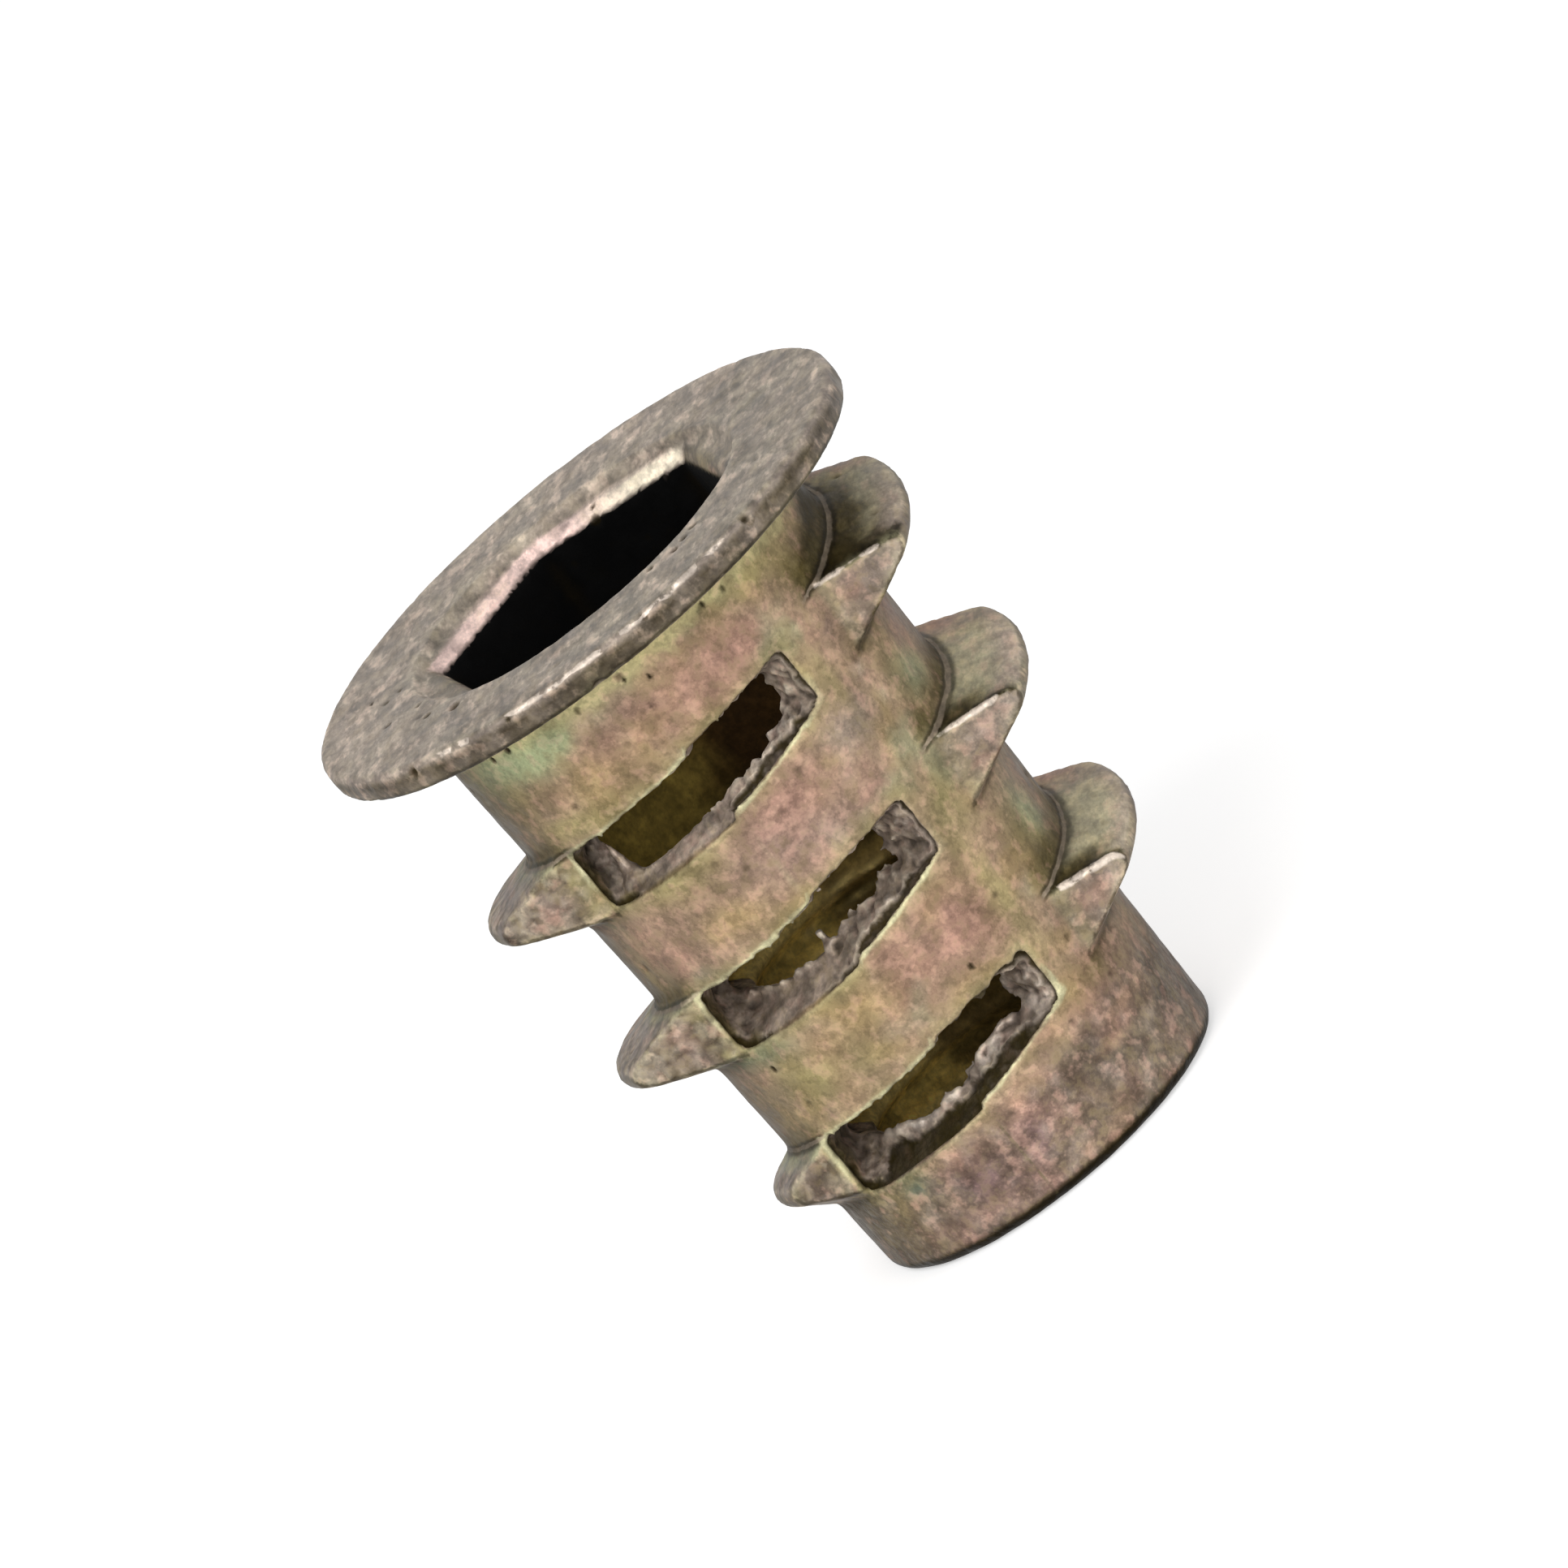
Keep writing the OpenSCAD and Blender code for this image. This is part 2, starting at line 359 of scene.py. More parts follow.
# %% Strew the grains
FLASH_SIZES = ((0.08, 0.16), (0.1, 0.26), (0.18, 0.3))      # at each window, from the top one
CRUMB = (-0.69, -3.5, 9.08)      # a loose bit on the middle window's flash
CRUMB_LUMPS = {0: 0.2, -0.2: 0.16, -0.35: 0.17}      # sizes of its lumps, by how high they lie
CLUMPS = [                       # x, y, z and size of torn lumps at the top window's left end
    (-3.2, -3.5, 13.2, 0.24), (-3.34, -3.46, 13.4, 0.26), (-3.4, -3.42, 13.65, 0.22),
    (-3.44, -3.38, 13.9, 0.18), (-3.46, -3.36, 14.15, 0.14), (-3.5, -3.36, 13.5, 0.24),
    (-3.46, -3.36, 14.35, 0.1),
]

grains = bmesh.new()
for turn, sizes in enumerate(FLASH_SIZES):
    string_grains(grains, in_window(sill_pairs, turn), 0.07, sizes, 0.45, 0.3, (0.8, 0.8, 1.1))
    string_grains(grains, upper_edge(turn, -4, 4), 0.2, (0.06, 0.11), -0.08)
string_grains(grains, upper_edge(2, 0.6, 3.2), 0.12, (0.08, 0.17), -0.15, -0.5)
for *place, size in CLUMPS:
    add_grain(grains, Vector(place), size)
string_grains(grains, rib_pairs, 0.05, (0.05, 0.085), 0, 0.2, (1.3, 0.8, 0.9))
strew_grains(grains, torn, 14, (0.1, 0.22))
string_grains(grains, upper_edge(1, -3.4, 0), 0.12, (0.08, 0.15), -0.08)
string_grains(grains, upper_edge(2, 0.8, 3.1), 0.08, (0.16, 0.24), -0.36, -1.3)
for rise, size in CRUMB_LUMPS.items():
    add_grain(grains, Vector(CRUMB) + Vector((0, 0, rise)), size)
print(f"{len(grains.faces) // 20} grains")

# %% [markdown]
# ## One skin for the casting
# The thread's groove is cut first, while the solid still has its few clean faces. Then everything
# goes through the voxel remesher, which lays one even skin of small squares over the casting and
# its grains. Even squares are what the next steps need: smoothing them rounds every edge and fills
# every corner a little, as in a die that has worn, and they are fine enough to carry pits. Bevels
# on the solid would give round edges too, but would fail where so many small edges meet.

# %% Cut, join and remesh
VOXEL = 0.1


def add_modifier(piece, kind, **settings):
    """A modifier on a piece, with its settings."""
    modifier = piece.modifiers.new(kind.lower(), kind)
    for key, value in settings.items():
        setattr(modifier, key, value)
    return modifier


def apply_modifiers(piece):
    """Bakes a piece's modifiers into its mesh."""
    graph = bpy.context.evaluated_depsgraph_get()
    made = bpy.data.meshes.new_from_object(piece.evaluated_get(graph))
    piece.modifiers.clear()
    piece.data = made


casting = new_piece("insert_casting", solid)
cutter = new_piece("thread_cutter", cutter_mesh)
loose_grains = new_piece("loose_grains", grains)
add_modifier(casting, "BOOLEAN", operation="DIFFERENCE", solver="MANIFOLD", object=cutter)
apply_modifiers(casting)
print(f"with the thread cut: {len(casting.data.polygons)} faces")

joined = bmesh.new()
joined.from_mesh(casting.data)
joined.from_mesh(loose_grains.data)
joined.to_mesh(casting.data)
joined.free()
for helper in (cutter, loose_grains):
    bpy.data.objects.remove(helper)
add_modifier(casting, "REMESH", mode="VOXEL", voxel_size=VOXEL)
apply_modifiers(casting)
print(f"one skin: {len(casting.data.polygons)} squares")

# %% [markdown]
# ## Worn edges, filled corners
# From here the skin is a table of points that numpy can work on at once. A round of smoothing moves
# each point towards the middle of its neighbours. How far it would move along its own normal says
# how the surface bends there: inwards on a ridge, outwards in a corner. So a few rounds are done
# everywhere, a few more round the socket's mouth, where the bevel's slope would show the steps of
# the squares, and the rest only in the corners, which gives the ribs the soft roots of a casting.
# The same measure is kept to tell the finish where edges rub bright and where corners get painted shade.

# %% The skin as a table of points
mesh = casting.data
count = len(mesh.vertices)
points = np.empty(count * 3)
mesh.vertices.foreach_get("co", points)
points = points.reshape(-1, 3)
edge_ends = np.empty(len(mesh.edges) * 2, int)
mesh.edges.foreach_get("vertices", edge_ends)
edge_ends = edge_ends.reshape(-1, 2)
both_ways = np.concatenate([edge_ends, edge_ends[:, ::-1]])
neighbours = np.bincount(both_ways[:, 0], minlength=count)
print(f"{count} points, each with {neighbours.mean():.2f} neighbours")

# %% Smooth it
ROUNDS_ALL = 3           # rounds of smoothing for the whole skin
ROUNDS_RIM = 6           # more of them round the socket's mouth
ROUNDS_CORNERS = 14      # and in the corners
SHARP_BEND = 0.01        # a corner that bends this much is smoothed in full, in mm


def mean_of_neighbours(values):
    """For each point, the mean of a value over its neighbours."""
    columns = values.reshape(count, -1).T
    sums = [np.bincount(both_ways[:, 0], column[both_ways[:, 1]], count) for column in columns]
    return (np.stack(sums, -1) / neighbours[:, None]).reshape(values.shape)


def normals_of():
    """The normals at the skin's points as they are now."""
    mesh.vertices.foreach_set("co", points.ravel())
    mesh.update()
    found = np.empty(count * 3)
    mesh.vertex_normals.foreach_get("vector", found)
    return found.reshape(-1, 3)


def spread(values, rounds):
    """A value blurred over the skin."""
    for _ in range(rounds):
        values = (values + mean_of_neighbours(values)) / 2
    return values


def bend(rounds):
    """How the skin bends at each point: over 0 in corners and under 0 on ridges, in mm."""
    return ((spread(points, rounds) - points) * normals_of()).sum(1)


def smooth(share):
    """Moves each point by a share of the way to the middle of its neighbours."""
    points[:] += share * (mean_of_neighbours(points) - points)


for _ in range(ROUNDS_ALL):
    smooth(0.5)
socket_rim = (points[:, 2] > recess_floor - 0.9) & (np.hypot(*points[:, :2].T) < recess_r - 0.1)
for _ in range(ROUNDS_RIM):
    smooth(0.5 * socket_rim[:, None])
for _ in range(ROUNDS_CORNERS):
    smooth(0.5 * np.clip(bend(2) / SHARP_BEND, 0, 1)[:, None])
print(f"the deepest corner left bends {bend(2).max():.3f} mm")

# %% [markdown]
# ## Where each point lies
# The next steps treat each region of the casting in its own way. So each point gets a few plain
# measures: how deep it lies under the barrel's surface, how far outside the windows' outlines, how
# far from the flash. Distances are kept as they are and not as on-off marks, so that the finish can
# draw lines along them that are sharper than the mesh.


# %% Tools for measures
def ramp(values, start, end):
    """0 at start, 1 at end, and smooth between them."""
    t = np.clip((values - start) / (end - start), 0, 1)
    return t * t * (3 - 2 * t)


def bell(values, middle, half_width):
    """1 at the middle, fading away on both sides."""
    return np.exp(-((values - middle) / half_width) ** 2)


def noise_at_points(scale, shift=(0.0, 0.0, 0.0), along_y=1.0):
    """Noise at every point, with lengths multiplied by scale; along_y draws it out."""
    places = points * (scale, scale * along_y, scale) + shift
    return np.array([noise.noise(place) for place in places])


def distance_to(pairs):
    """Distance of every point from a list of edges, given as pairs of points."""
    places = [a.lerp(b, share / 8) for a, b in pairs for share in range(9)]
    tree = kdtree.KDTree(len(places))
    for number, place in enumerate(places):
        tree.insert(place, number)
    tree.balance()
    return np.array([tree.find(p)[2] for p in points])


print("halfway up a ramp:", ramp(0.5, 0, 1), "and at a bell's middle:", bell(0.5, 0.5, 1))

# %% Measures
x, y, z = points.T
radius = np.hypot(x, y)
angle = np.degrees(np.arctan2(y, x))
depth = barrel_r(z) - radius
facing = normals_of()
window = np.where(y < 0, from_windows(x, z), FAR)
from_sill = distance_to(sill_pairs)
from_ridge = distance_to(rib_pairs)
from_under = distance_to(under_pairs)
# Dashes of painted highlight along the top edge of the flange's rim
dashes = ramp(noise_at_points(2.1, (9, 9, 2)), -0.25, -0.05)
dashes *= ramp(angle, -138, -124) * ramp(angle, -44, -60)
from_rim = np.hypot(radius - flange_r + rim_r / 2, z - total_h + rim_r / 2) + 0.5 * (1 - dashes)
turn_of = np.clip(np.round((thread_z(angle) - z) / coarse_pitch), 0, WINDOWS)
over_thread = z - thread_z(angle, turn_of)
top_turn = turn_of == 0
lowest_window = turn_of == WINDOWS - 1
upper_windows = turn_of < WINDOWS - 1
print(f"the skin lies {depth.min():.2f} to {depth.max():.2f} mm under the barrel's surface")

# %% Regions
on_flange = ramp(z, flange_under - 0.15, flange_under - 0.02) * ramp(radius, 4.2, 4.6)
off_flange = 1 - on_flange
on_rim = on_flange * ramp(radius, flange_r - rim_r, flange_r - 0.06)
on_skin = ramp(depth, 0.12, 0.04) * off_flange
on_rib = ramp(depth, -0.02, -0.15) * off_flange
torn_wall = ramp(window, 0.06, 0.0) * ramp(depth, 0.03, 0.1) * ramp(radius, 3.0, 3.3)
skin = 1 - torn_wall
in_front = ramp(y, 3.2, 0.6)
rib_number = np.round((360 * turn_of - angle) / 180)
has_rib = (rib_number >= 0) * (rib_number < 2 * WINDOWS)
from_rib_middle = angle - 360 * turn_of + 180 * rib_number
beside_ribs = (ramp(from_rib_middle, -39.5, -36.5) * ramp(from_rib_middle, 46, 41)
               * ramp(np.abs(over_thread), 2.2, 1.8) * has_rib)
hollow = (skin * ramp(radius, 5.02, 4.9) * ramp(z, 0.02, 0.3)
          * ramp(z, recess_floor - 0.25, recess_floor - 0.3))
pocket = skin * ramp(depth, 0.25, 0.5) * ramp(radius, 4.95, 5.05) * off_flange
above_middle = ramp(over_thread, -0.45, -0.15)
left_of_seam = ramp(x, 0.15, -0.05)
lip = 0.12 + 0.88 * (above_middle * left_of_seam + (1 - above_middle) * (1 - left_of_seam))
lip *= 1 - 0.7 * ramp(x, 2.7, 3.2) * upper_windows
bevel = (ramp(z, recess_floor - 0.34, recess_floor - 0.28)
         * ramp(z, recess_floor + 0.02, recess_floor - 0.03)
         * ramp(radius, recess_r + 0.02, recess_r - 0.05))
print(f"torn walls cover {100 * (torn_wall > 0.5).mean():.1f}% of the points")

# %% [markdown]
# ## The cast surface
# Close up, a die casting is never flat. Its skin waves gently, it has small pits where gas froze
# in, and its flange is nicked from the drum it was plated in. All of this is moved in the mesh
# itself, by noise that depends only on where a point is, so it is the same on each run. A gap runs
# round each window where the side core's edge stood. It is narrow at the upper two, wider at their
# right ends, and widest under the lowest one. What stands at the part's outer limits only ever
# moves inwards, so that its size stays that of the solid.

# %% Waves, pits and nicks
GAPS = (0.16, 0.22, 0.22)        # width of the gap round each window, from the top one
WIDEST_GAP = 1.1                 # what is added to it along the lowest window's sill
RIGHT_GAP = 0.36                 # and along the right half of the other two
NICKS = [                        # radius, angle and height, then reach and depth
    (4.15, 83.8, 19.38, 0.2, 0.14), (4.4, 82.4, 19.7, 0.12, 0.08),
    (8.3, -132.7, 19.8, 0.22, 0.12), (5.82, -134, 20, 0.22, 0.1),
    (6.02, -58.8, 20, 0.16, 0.08), (5.88, -54.4, 20, 0.15, 0.08), (5.76, -49.6, 20, 0.16, 0.08),
    (8.3, -90.7, 19.2, 0.25, 0.12), (8.36, -108, 19.9, 0.16, 0.08), (8.32, -76.8, 19.9, 0.14, 0.07),
    (8.25, -50.9, 19.85, 0.2, 0.1), (5.86, -90, 18.4, 0.1, 0.09), (5.86, -129, 18.3, 0.13, 0.08),
    (5.86, -89.7, 18.22, 0.09, 0.08), (5.86, -136, 18.2, 0.12, 0.07), (5.86, -55, 18.3, 0.09, 0.06),
    (5.86, -104, 18.3, 0.09, 0.07), (5.86, -84, 17.9, 0.1, 0.07), (5.86, -62, 18.4, 0.1, 0.06),
    (5.5, -134, 7.1, 0.12, 0.06), (5.5, -68, 6.4, 0.12, 0.05), (6.34, -164, 20, 0.13, 0.06),
    (6.1, 179, 20, 0.11, 0.06), (5.66, 177, 20, 0.1, 0.05), (5.9, -146, 20, 0.14, 0.07),
    (5.5, -159, 20, 0.11, 0.06), (6.6, 172, 20, 0.1, 0.05), (5.7, -66, 20, 0.12, 0.06),
]


def pit_field(scale, reach, shift):
    """1 at the middle of scattered pits and 0 past their rims."""
    nearest = np.array([
        noise.voronoi(Vector(p) * scale + Vector(shift))[0][0] for p in points])
    return 1 - ramp(nearest, 0, reach)


waves = noise_at_points(1.1) + 0.5 * noise_at_points(2.6, (5, 2, 9))
grain = noise_at_points(5.2, (1, 8, 3))
crumble = 0.7 * noise_at_points(2.9, (7, 7, 1), 0.4) + 0.5 * noise_at_points(6.1, (2, 4, 8), 0.4)
pits = pit_field(0.8, 0.16, (4, 4, 4))
gap_width = np.interp(turn_of, range(WINDOWS), GAPS)
gap_width += (WIDEST_GAP * lowest_window * ramp(x, -3.6, -3.0) * ramp(x, 2.6, 1.6)
              * (1 - 0.3 * ramp(x, 0, 0.5)))
right_sill = upper_windows * (1 - left_of_seam) * (1 - above_middle) * ramp(x, 3.1, 2.6)
gap_width += RIGHT_GAP * right_sill + 0.1 * ramp(x, -3.2, -3.8)
gap = gap_width + 0.12 * crumble - depth

push = skin * (0.012 * waves + 0.005 * grain - 0.04 * pits)
push += torn_wall * lumpiness(x) * 0.14 * crumble
push -= torn_wall * ramp(gap, -0.02, 0.05) * ramp(depth, 0.06, 0.12) * 0.12
push += 0.03 * bell(x, 0, 0.07) * (y < 0) * on_skin * (0.6 + waves)
push -= on_rim * 0.03 * np.abs(waves)
nicked = np.zeros(count)
for r, at_angle, height, reach, sink in NICKS:
    turned = math.radians(at_angle)
    off = np.linalg.norm(points - (r * math.cos(turned), r * math.sin(turned), height), axis=1)
    nicked = np.maximum(nicked, 1 - ramp(off, 0.3 * reach, reach))
    push -= sink * (1 - ramp(off, 0.3 * reach, reach))
points += push[:, None] * facing

rim = np.hypot(points[:, 0], points[:, 1])
too_far = rim > flange_r
points[too_far, :2] *= (flange_r / rim[too_far])[:, None]
points[:, 2] = np.clip(points[:, 2], cad_low.z / MM, total_h)
print(f"pushed by {push.min():.3f} to {push.max():.3f} mm")

# %% [markdown]
# ## Yellow passivation, zone by zone
# After plating, such an insert is dipped in chromate, which leaves a film thinner than a soap
# bubble's wall. Its colour depends on its thickness, so it runs from tan through pink and straw to
# green, in soft zones, and it is grey where the metal rubbed on others. The broad zones are laid on
# the points one over the other, as a painter would: first what noise gives all round, then single
# stains where they lie on this part, with one painted shade among them, then each region's own tone.
# Painted shade and painted highlights go on as well: shade in the gaps round the windows, in the
# corners by the ribs, under the flange, along the foot and deep in the hole, and highlights as glints
# deep in the windows, white lines on the flash and the ribs' ridges, dashes on the rim and the
# bevel's far side. Vertex colours do this better than an image, since every tone can follow a
# measure of the shape.

# %% The film's tones
TAN = (176, 149, 125)
PINK = (188, 148, 130)
MAUVE = (156, 131, 121)
STRAW = (182, 156, 112)
YELLOW = (176, 166, 112)
GREEN = (172, 178, 140)
TEAL = (112, 138, 118)
OLIVE = (120, 108, 72)
DARK_OLIVE = (66, 56, 26)
GREY = (170, 161, 147)
GREEN_GREY = (216, 211, 176)
PALE_PINK = (206, 188, 174)
# A near-black brown, used mostly for painted shade and painted shadow
DARKEST_BROWN = (40, 33, 16)
WALL_GREY = (206, 188, 173)
DARK_GREY = (108, 100, 88)
BROWN = (100, 84, 72)
# Tones inside the hole: an olive, a much lighter one that stands in for the light falling into the tapped
# hole through the windows, and a dark brown painted shade
HOLLOW_LEFT = (152, 130, 66)
HOLLOW_LOW_LIT = (255, 224, 128)
HOLLOW_SHADE = (56, 40, 24)
PALE_YELLOW = (206, 198, 146)
GOLD = (232, 204, 130)
PALE_GREEN = (182, 192, 148)
END_GREY = (150, 133, 121)
LILAC = (168, 152, 144)
PEACH = (222, 180, 148)
LILAC_PINK = (170, 136, 140)
BLACK = (1, 1, 0)
BRIGHT = (255, 228, 150)
BRIGHT_PINK = (255, 224, 214)
BRIGHT_CREAM = (255, 242, 218)
CREAM = (242, 226, 200)
RIDGE_WHITE = (246, 232, 220)
print("the ground tone is", TAN)

# %% Zones all round
tone = np.tile(np.array(TAN, float), (count, 1))


def paint(colour, mask, share=1.0):
    """Lays a colour over the tone, where a mask says and up to a share."""
    weight = np.clip(mask * share, 0, 1)[:, None]
    tone[:] = tone + weight * (np.array(colour) - tone)


def coat(region, *layers):
    """Paints one region in layers, each a colour, a mask within the region and a share."""
    for colour, mask, share in layers:
        paint(colour, region * mask, share)


def mean_tone():
    """The tone of the whole skin on average, to follow how the layers change it."""
    return tuple(int(step) for step in tone.mean(0).round())


drift = noise_at_points(0.31, (3, 9, 1))
patch = noise_at_points(0.62, (8, 2, 4))
spot = noise_at_points(1.4, (1, 5, 2))
paint(PINK, ramp(patch, 0.0, 0.4), 0.8)
paint(STRAW, ramp(patch, -0.1, -0.45), 0.8)
paint(OLIVE, ramp(drift + 0.3 * spot, 0.1, 0.5), 0.5)
paint(GREEN, ramp(drift - 0.4 * spot, -0.3, -0.6), 0.6)
paint(MAUVE, ramp(spot - 0.4 * patch, 0.25, 0.6), 0.5)
print("mean tone with the zones:", mean_tone())

# %% Stains in their places, with one painted shade among them
STAINS_AND_SHADE = [           # tone, angle, height, half width in degrees, half height in mm, and share
    (PALE_GREEN, -124, 17.95, 24, 0.6, 1.5), (PALE_GREEN, -145, 17.6, 10, 0.6, 0.8),
    (OLIVE, -145, 16.8, 14, 0.8, 0.7), (STRAW, -112, 16.6, 14, 0.7, 0.7),
    (PINK, -82, 17.2, 22, 0.9, 0.8), (YELLOW, -46, 18.0, 14, 0.4, 0.8), (OLIVE, -34, 17.3, 9, 0.7, 0.9),
    (YELLOW, -130, 15.6, 12, 0.35, 0.8), (YELLOW, -113, 12.9, 12, 0.35, 0.6),
    (PINK, -79, 12.9, 15, 1.0, 1.0), (TAN, -124, 12.0, 14, 0.8, 0.8),
    (STRAW, -108, 11.3, 10, 0.5, 0.9), (MAUVE, -75, 11.7, 16, 0.5, 0.6),
    (GREY, -52, 13.3, 9, 0.7, 0.6), (OLIVE, -24, 12.7, 10, 0.9, 0.8),
    (TEAL, -140, 7.7, 15, 0.4, 0.8), (YELLOW, -122, 6.4, 18, 1.0, 0.8),
    (STRAW, -97, 7.3, 16, 0.9, 0.7), (PINK, -64, 7.6, 14, 1.2, 1.0),
    (OLIVE, -27, 7.6, 10, 1.1, 0.8), (YELLOW, -43, 9.9, 6, 0.8, 0.8),
    # The dark grey at -150 degrees, first on this next line, is painted shade on the tail's left side
    (DARK_GREY, -150, 1.8, 16, 1.6, 0.6), (OLIVE, -134, 2.0, 8, 1.4, 0.6),
    (TEAL, -123, 2.5, 5, 0.3, 1.0), (PINK, -107, 2.5, 7, 0.5, 0.9),
    (MAUVE, -100, 1.5, 9, 0.6, 0.9), (PINK, -82, 2.6, 8, 0.5, 0.9),
    (MAUVE, -85, 1.5, 5, 0.7, 0.8), (DARK_GREY, -62, 2.5, 10, 0.5, 0.7),
    (PINK, -44, 2.4, 9, 0.25, 0.9), (STRAW, -48, 4.1, 6, 0.5, 0.8),
    (MAUVE, -92, 12.3, 16, 1.0, 0.35), (TAN, -75, 3.4, 16, 0.35, 0.7),
    (DARK_GREY, -22, 2.2, 14, 1.5, 0.5), (GREEN, -17, 7.8, 9, 0.9, 0.9),
    (GREEN, -19, 12.7, 9, 0.7, 0.8), (YELLOW, -48, 7.2, 4, 1.6, 0.7),
    (PEACH, -79, 3.0, 6, 0.28, 0.9), (PEACH, -62, 3.75, 8, 0.22, 0.8),
    (PEACH, -38, 2.7, 9, 0.16, 0.8), (PEACH, -49, 2.2, 6, 0.14, 0.7),
    (BROWN, -66, 2.35, 7, 0.35, 0.7), (BROWN, -28, 3.6, 9, 0.5, 0.6),
    (OLIVE, -37, 3.9, 7, 0.35, 0.8), (LILAC_PINK, -103, 1.7, 6, 0.4, 0.7),
    (LILAC_PINK, -84, 1.9, 4, 0.5, 0.6), (YELLOW, -47, 14.6, 3, 1.0, 0.5),
    (CREAM, -38, 14.1, 2.6, 0.16, 0.6), (CREAM, -37, 13.1, 1.1, 0.22, 0.6),
]

GLINTS = [           # angle, height, half width in degrees and half height in mm
    (121.2, 7.4, 3, 0.16), (100.3, 7.87, 7, 0.1), (84.7, 7.75, 6, 0.1), (97.5, 7.22, 7, 0.1),
    (108.7, 7.64, 4, 0.1),
]

mottle = noise_at_points(2.4, (6, 1, 7))
tail = ramp(z, 3.6, 2.6) * (1 - hollow)
coat(tail, (MAUVE, 1, 0.6), (DARK_GREY, ramp(spot, -0.2, 0.4), 0.5))
for colour, middle_angle, middle_z, wide, high, share in STAINS_AND_SHADE:
    sideways = (angle - middle_angle) / wide + 0.4 * patch + 0.25 * spot
    upwards = (z - middle_z) / high + 0.4 * drift - 0.25 * spot
    paint(colour, np.exp(-sideways ** 2 - upwards ** 2), share)
# Painted shade on the left side of the barrel's front
paint(OLIVE, ramp(angle, -176, -168) * ramp(angle, -132, -150) * (y < 0), 0.35)
coat(tail, (BROWN, ramp(mottle, 0.05, 0.35), 0.55), (PALE_PINK, ramp(mottle, -0.15, -0.45), 0.4))
print("mean tone with the stains:", mean_tone())

# %% The skin, the ribs and the torn walls
facing_up = ramp(facing[:, 2], 0.2, 0.5)
front_rib = on_rib * in_front
left_rib = front_rib * (x < 0)
end_face = on_rib * ramp(facing[:, 1], -0.6, -0.8) * ramp(np.abs(facing[:, 2]), 0.4, 0.2)
under_gap = torn_wall * ramp(gap, -0.02, -0.12) * ramp(facing[:, 2], 0.0, 0.4) * lowest_window

coat(on_skin,
     (YELLOW, ramp(window, 0.6, 0.1) * (0.6 + 0.7 * spot), 0.6),
     (YELLOW, ramp(z, flange_under - 1.2, flange_under - 0.75), 0.35),
     (PALE_YELLOW, ramp(z + 0.3 * mottle, flange_under - 1.1, flange_under - 0.8), 0.75))
coat(end_face,
     (END_GREY, 1, 0.85),
     (PINK, ramp(spot, 0.0, 0.4) * ramp(depth, -0.2, -0.5), 0.6),
     (YELLOW, ramp(depth, -0.6, -0.2), np.where(x < 0, 0.8, 0.35)))
paint(GREY, on_rib * ramp(depth, -0.9, -1.6), 0.5)
paint(LILAC, left_rib * facing_up, 0.85)
coat(front_rib,
     (DARK_GREY, ramp(mottle, 0.05, 0.35), np.where(x < 0, 0.65, 0.3)),
     (PALE_PINK, ramp(mottle, -0.15, -0.4), 0.4))
coat(left_rib,
     (BROWN, ramp(grain + 0.6 * mottle, 0.05, 0.35), 0.6),
     (CREAM, ramp(grain - 0.4 * mottle, -0.1, -0.4), 0.4),
     (PALE_GREEN, facing_up * ramp(depth, -0.8, -0.3), 0.6))
coat(torn_wall,
     (WALL_GREY, 1, 0.9),
     (DARK_GREY, ramp(spot + 0.5 * crumble, 0.0, 0.5), 0.4),
     (BROWN, ramp(x, -3.0, -3.25) * ramp(grain + 0.5 * mottle, 0.0, 0.25), 0.5))
print("mean tone with the ribs and the torn walls:", mean_tone())

# %% The flange
far_edge = bell(radius, 5.45, 0.28)
coat(on_flange,
     (GREY, 1, 0.88),
     (PALE_PINK, ramp(patch, 0.0, 0.4), 0.35),
     (LILAC, ramp(patch, 0.0, -0.4), 0.3),
     (DARK_GREY, ramp(patch + 0.6 * spot, 0.1, 0.6), 0.45),
     (DARK_GREY, ramp(mottle + 0.5 * spot, 0.15, 0.5), 0.4),
     (PALE_PINK, np.maximum(ramp(x, -3, -7), ramp(y, 3, 7)), 0.35),
     # painted highlights on the far edge of the round recess
     (CREAM, far_edge * bell(angle, 124, 6), 0.8),
     (CREAM, far_edge * bell(angle, 107, 2), 0.8))
# The rim is darker, with a darker line round it, and painted shade on its lower edge
coat(on_rim,
     (DARKEST_BROWN, bell(z, total_h - 0.36, 0.08) * ramp(mottle, -0.4, 0.0), 0.8),
     (LILAC, 1, 0.5),
     (DARKEST_BROWN, ramp(z, total_h - 0.1, total_h - 0.25) * (0.7 + 0.6 * spot), 0.5),
     (DARKEST_BROWN, ramp(z, flange_under + 0.2, flange_under + 0.05), 0.85))
print("mean tone with the flange:", mean_tone())

# %% Darker places: painted shade in gaps, beside the ribs and at the foot
flank_top = front_rib * facing_up * (x > 0)
past_end = ramp(angle, -38, -34) * in_front
end_root = (past_end * ramp(over_thread, 0.85, 1.0) * ramp(over_thread, 1.9, 1.25)
            * has_rib * (rib_number % 2 == 0) * off_flange)
shadow_reach = 1.0 + 0.045 * (angle + 36) + 0.2 * mottle
top_shadow = (past_end * on_skin * top_turn * (z > first_crest - 0.8) * ramp(over_thread, 0.7, 0.9)
              * ramp(shadow_reach - over_thread, -0.25, 0.2))
over_root = bell(over_thread, 1.15, 0.3) * beside_ribs * off_flange
under_root = bell(over_thread, -1.27, 0.1) * beside_ribs * ramp(depth, -0.3, -0.1)
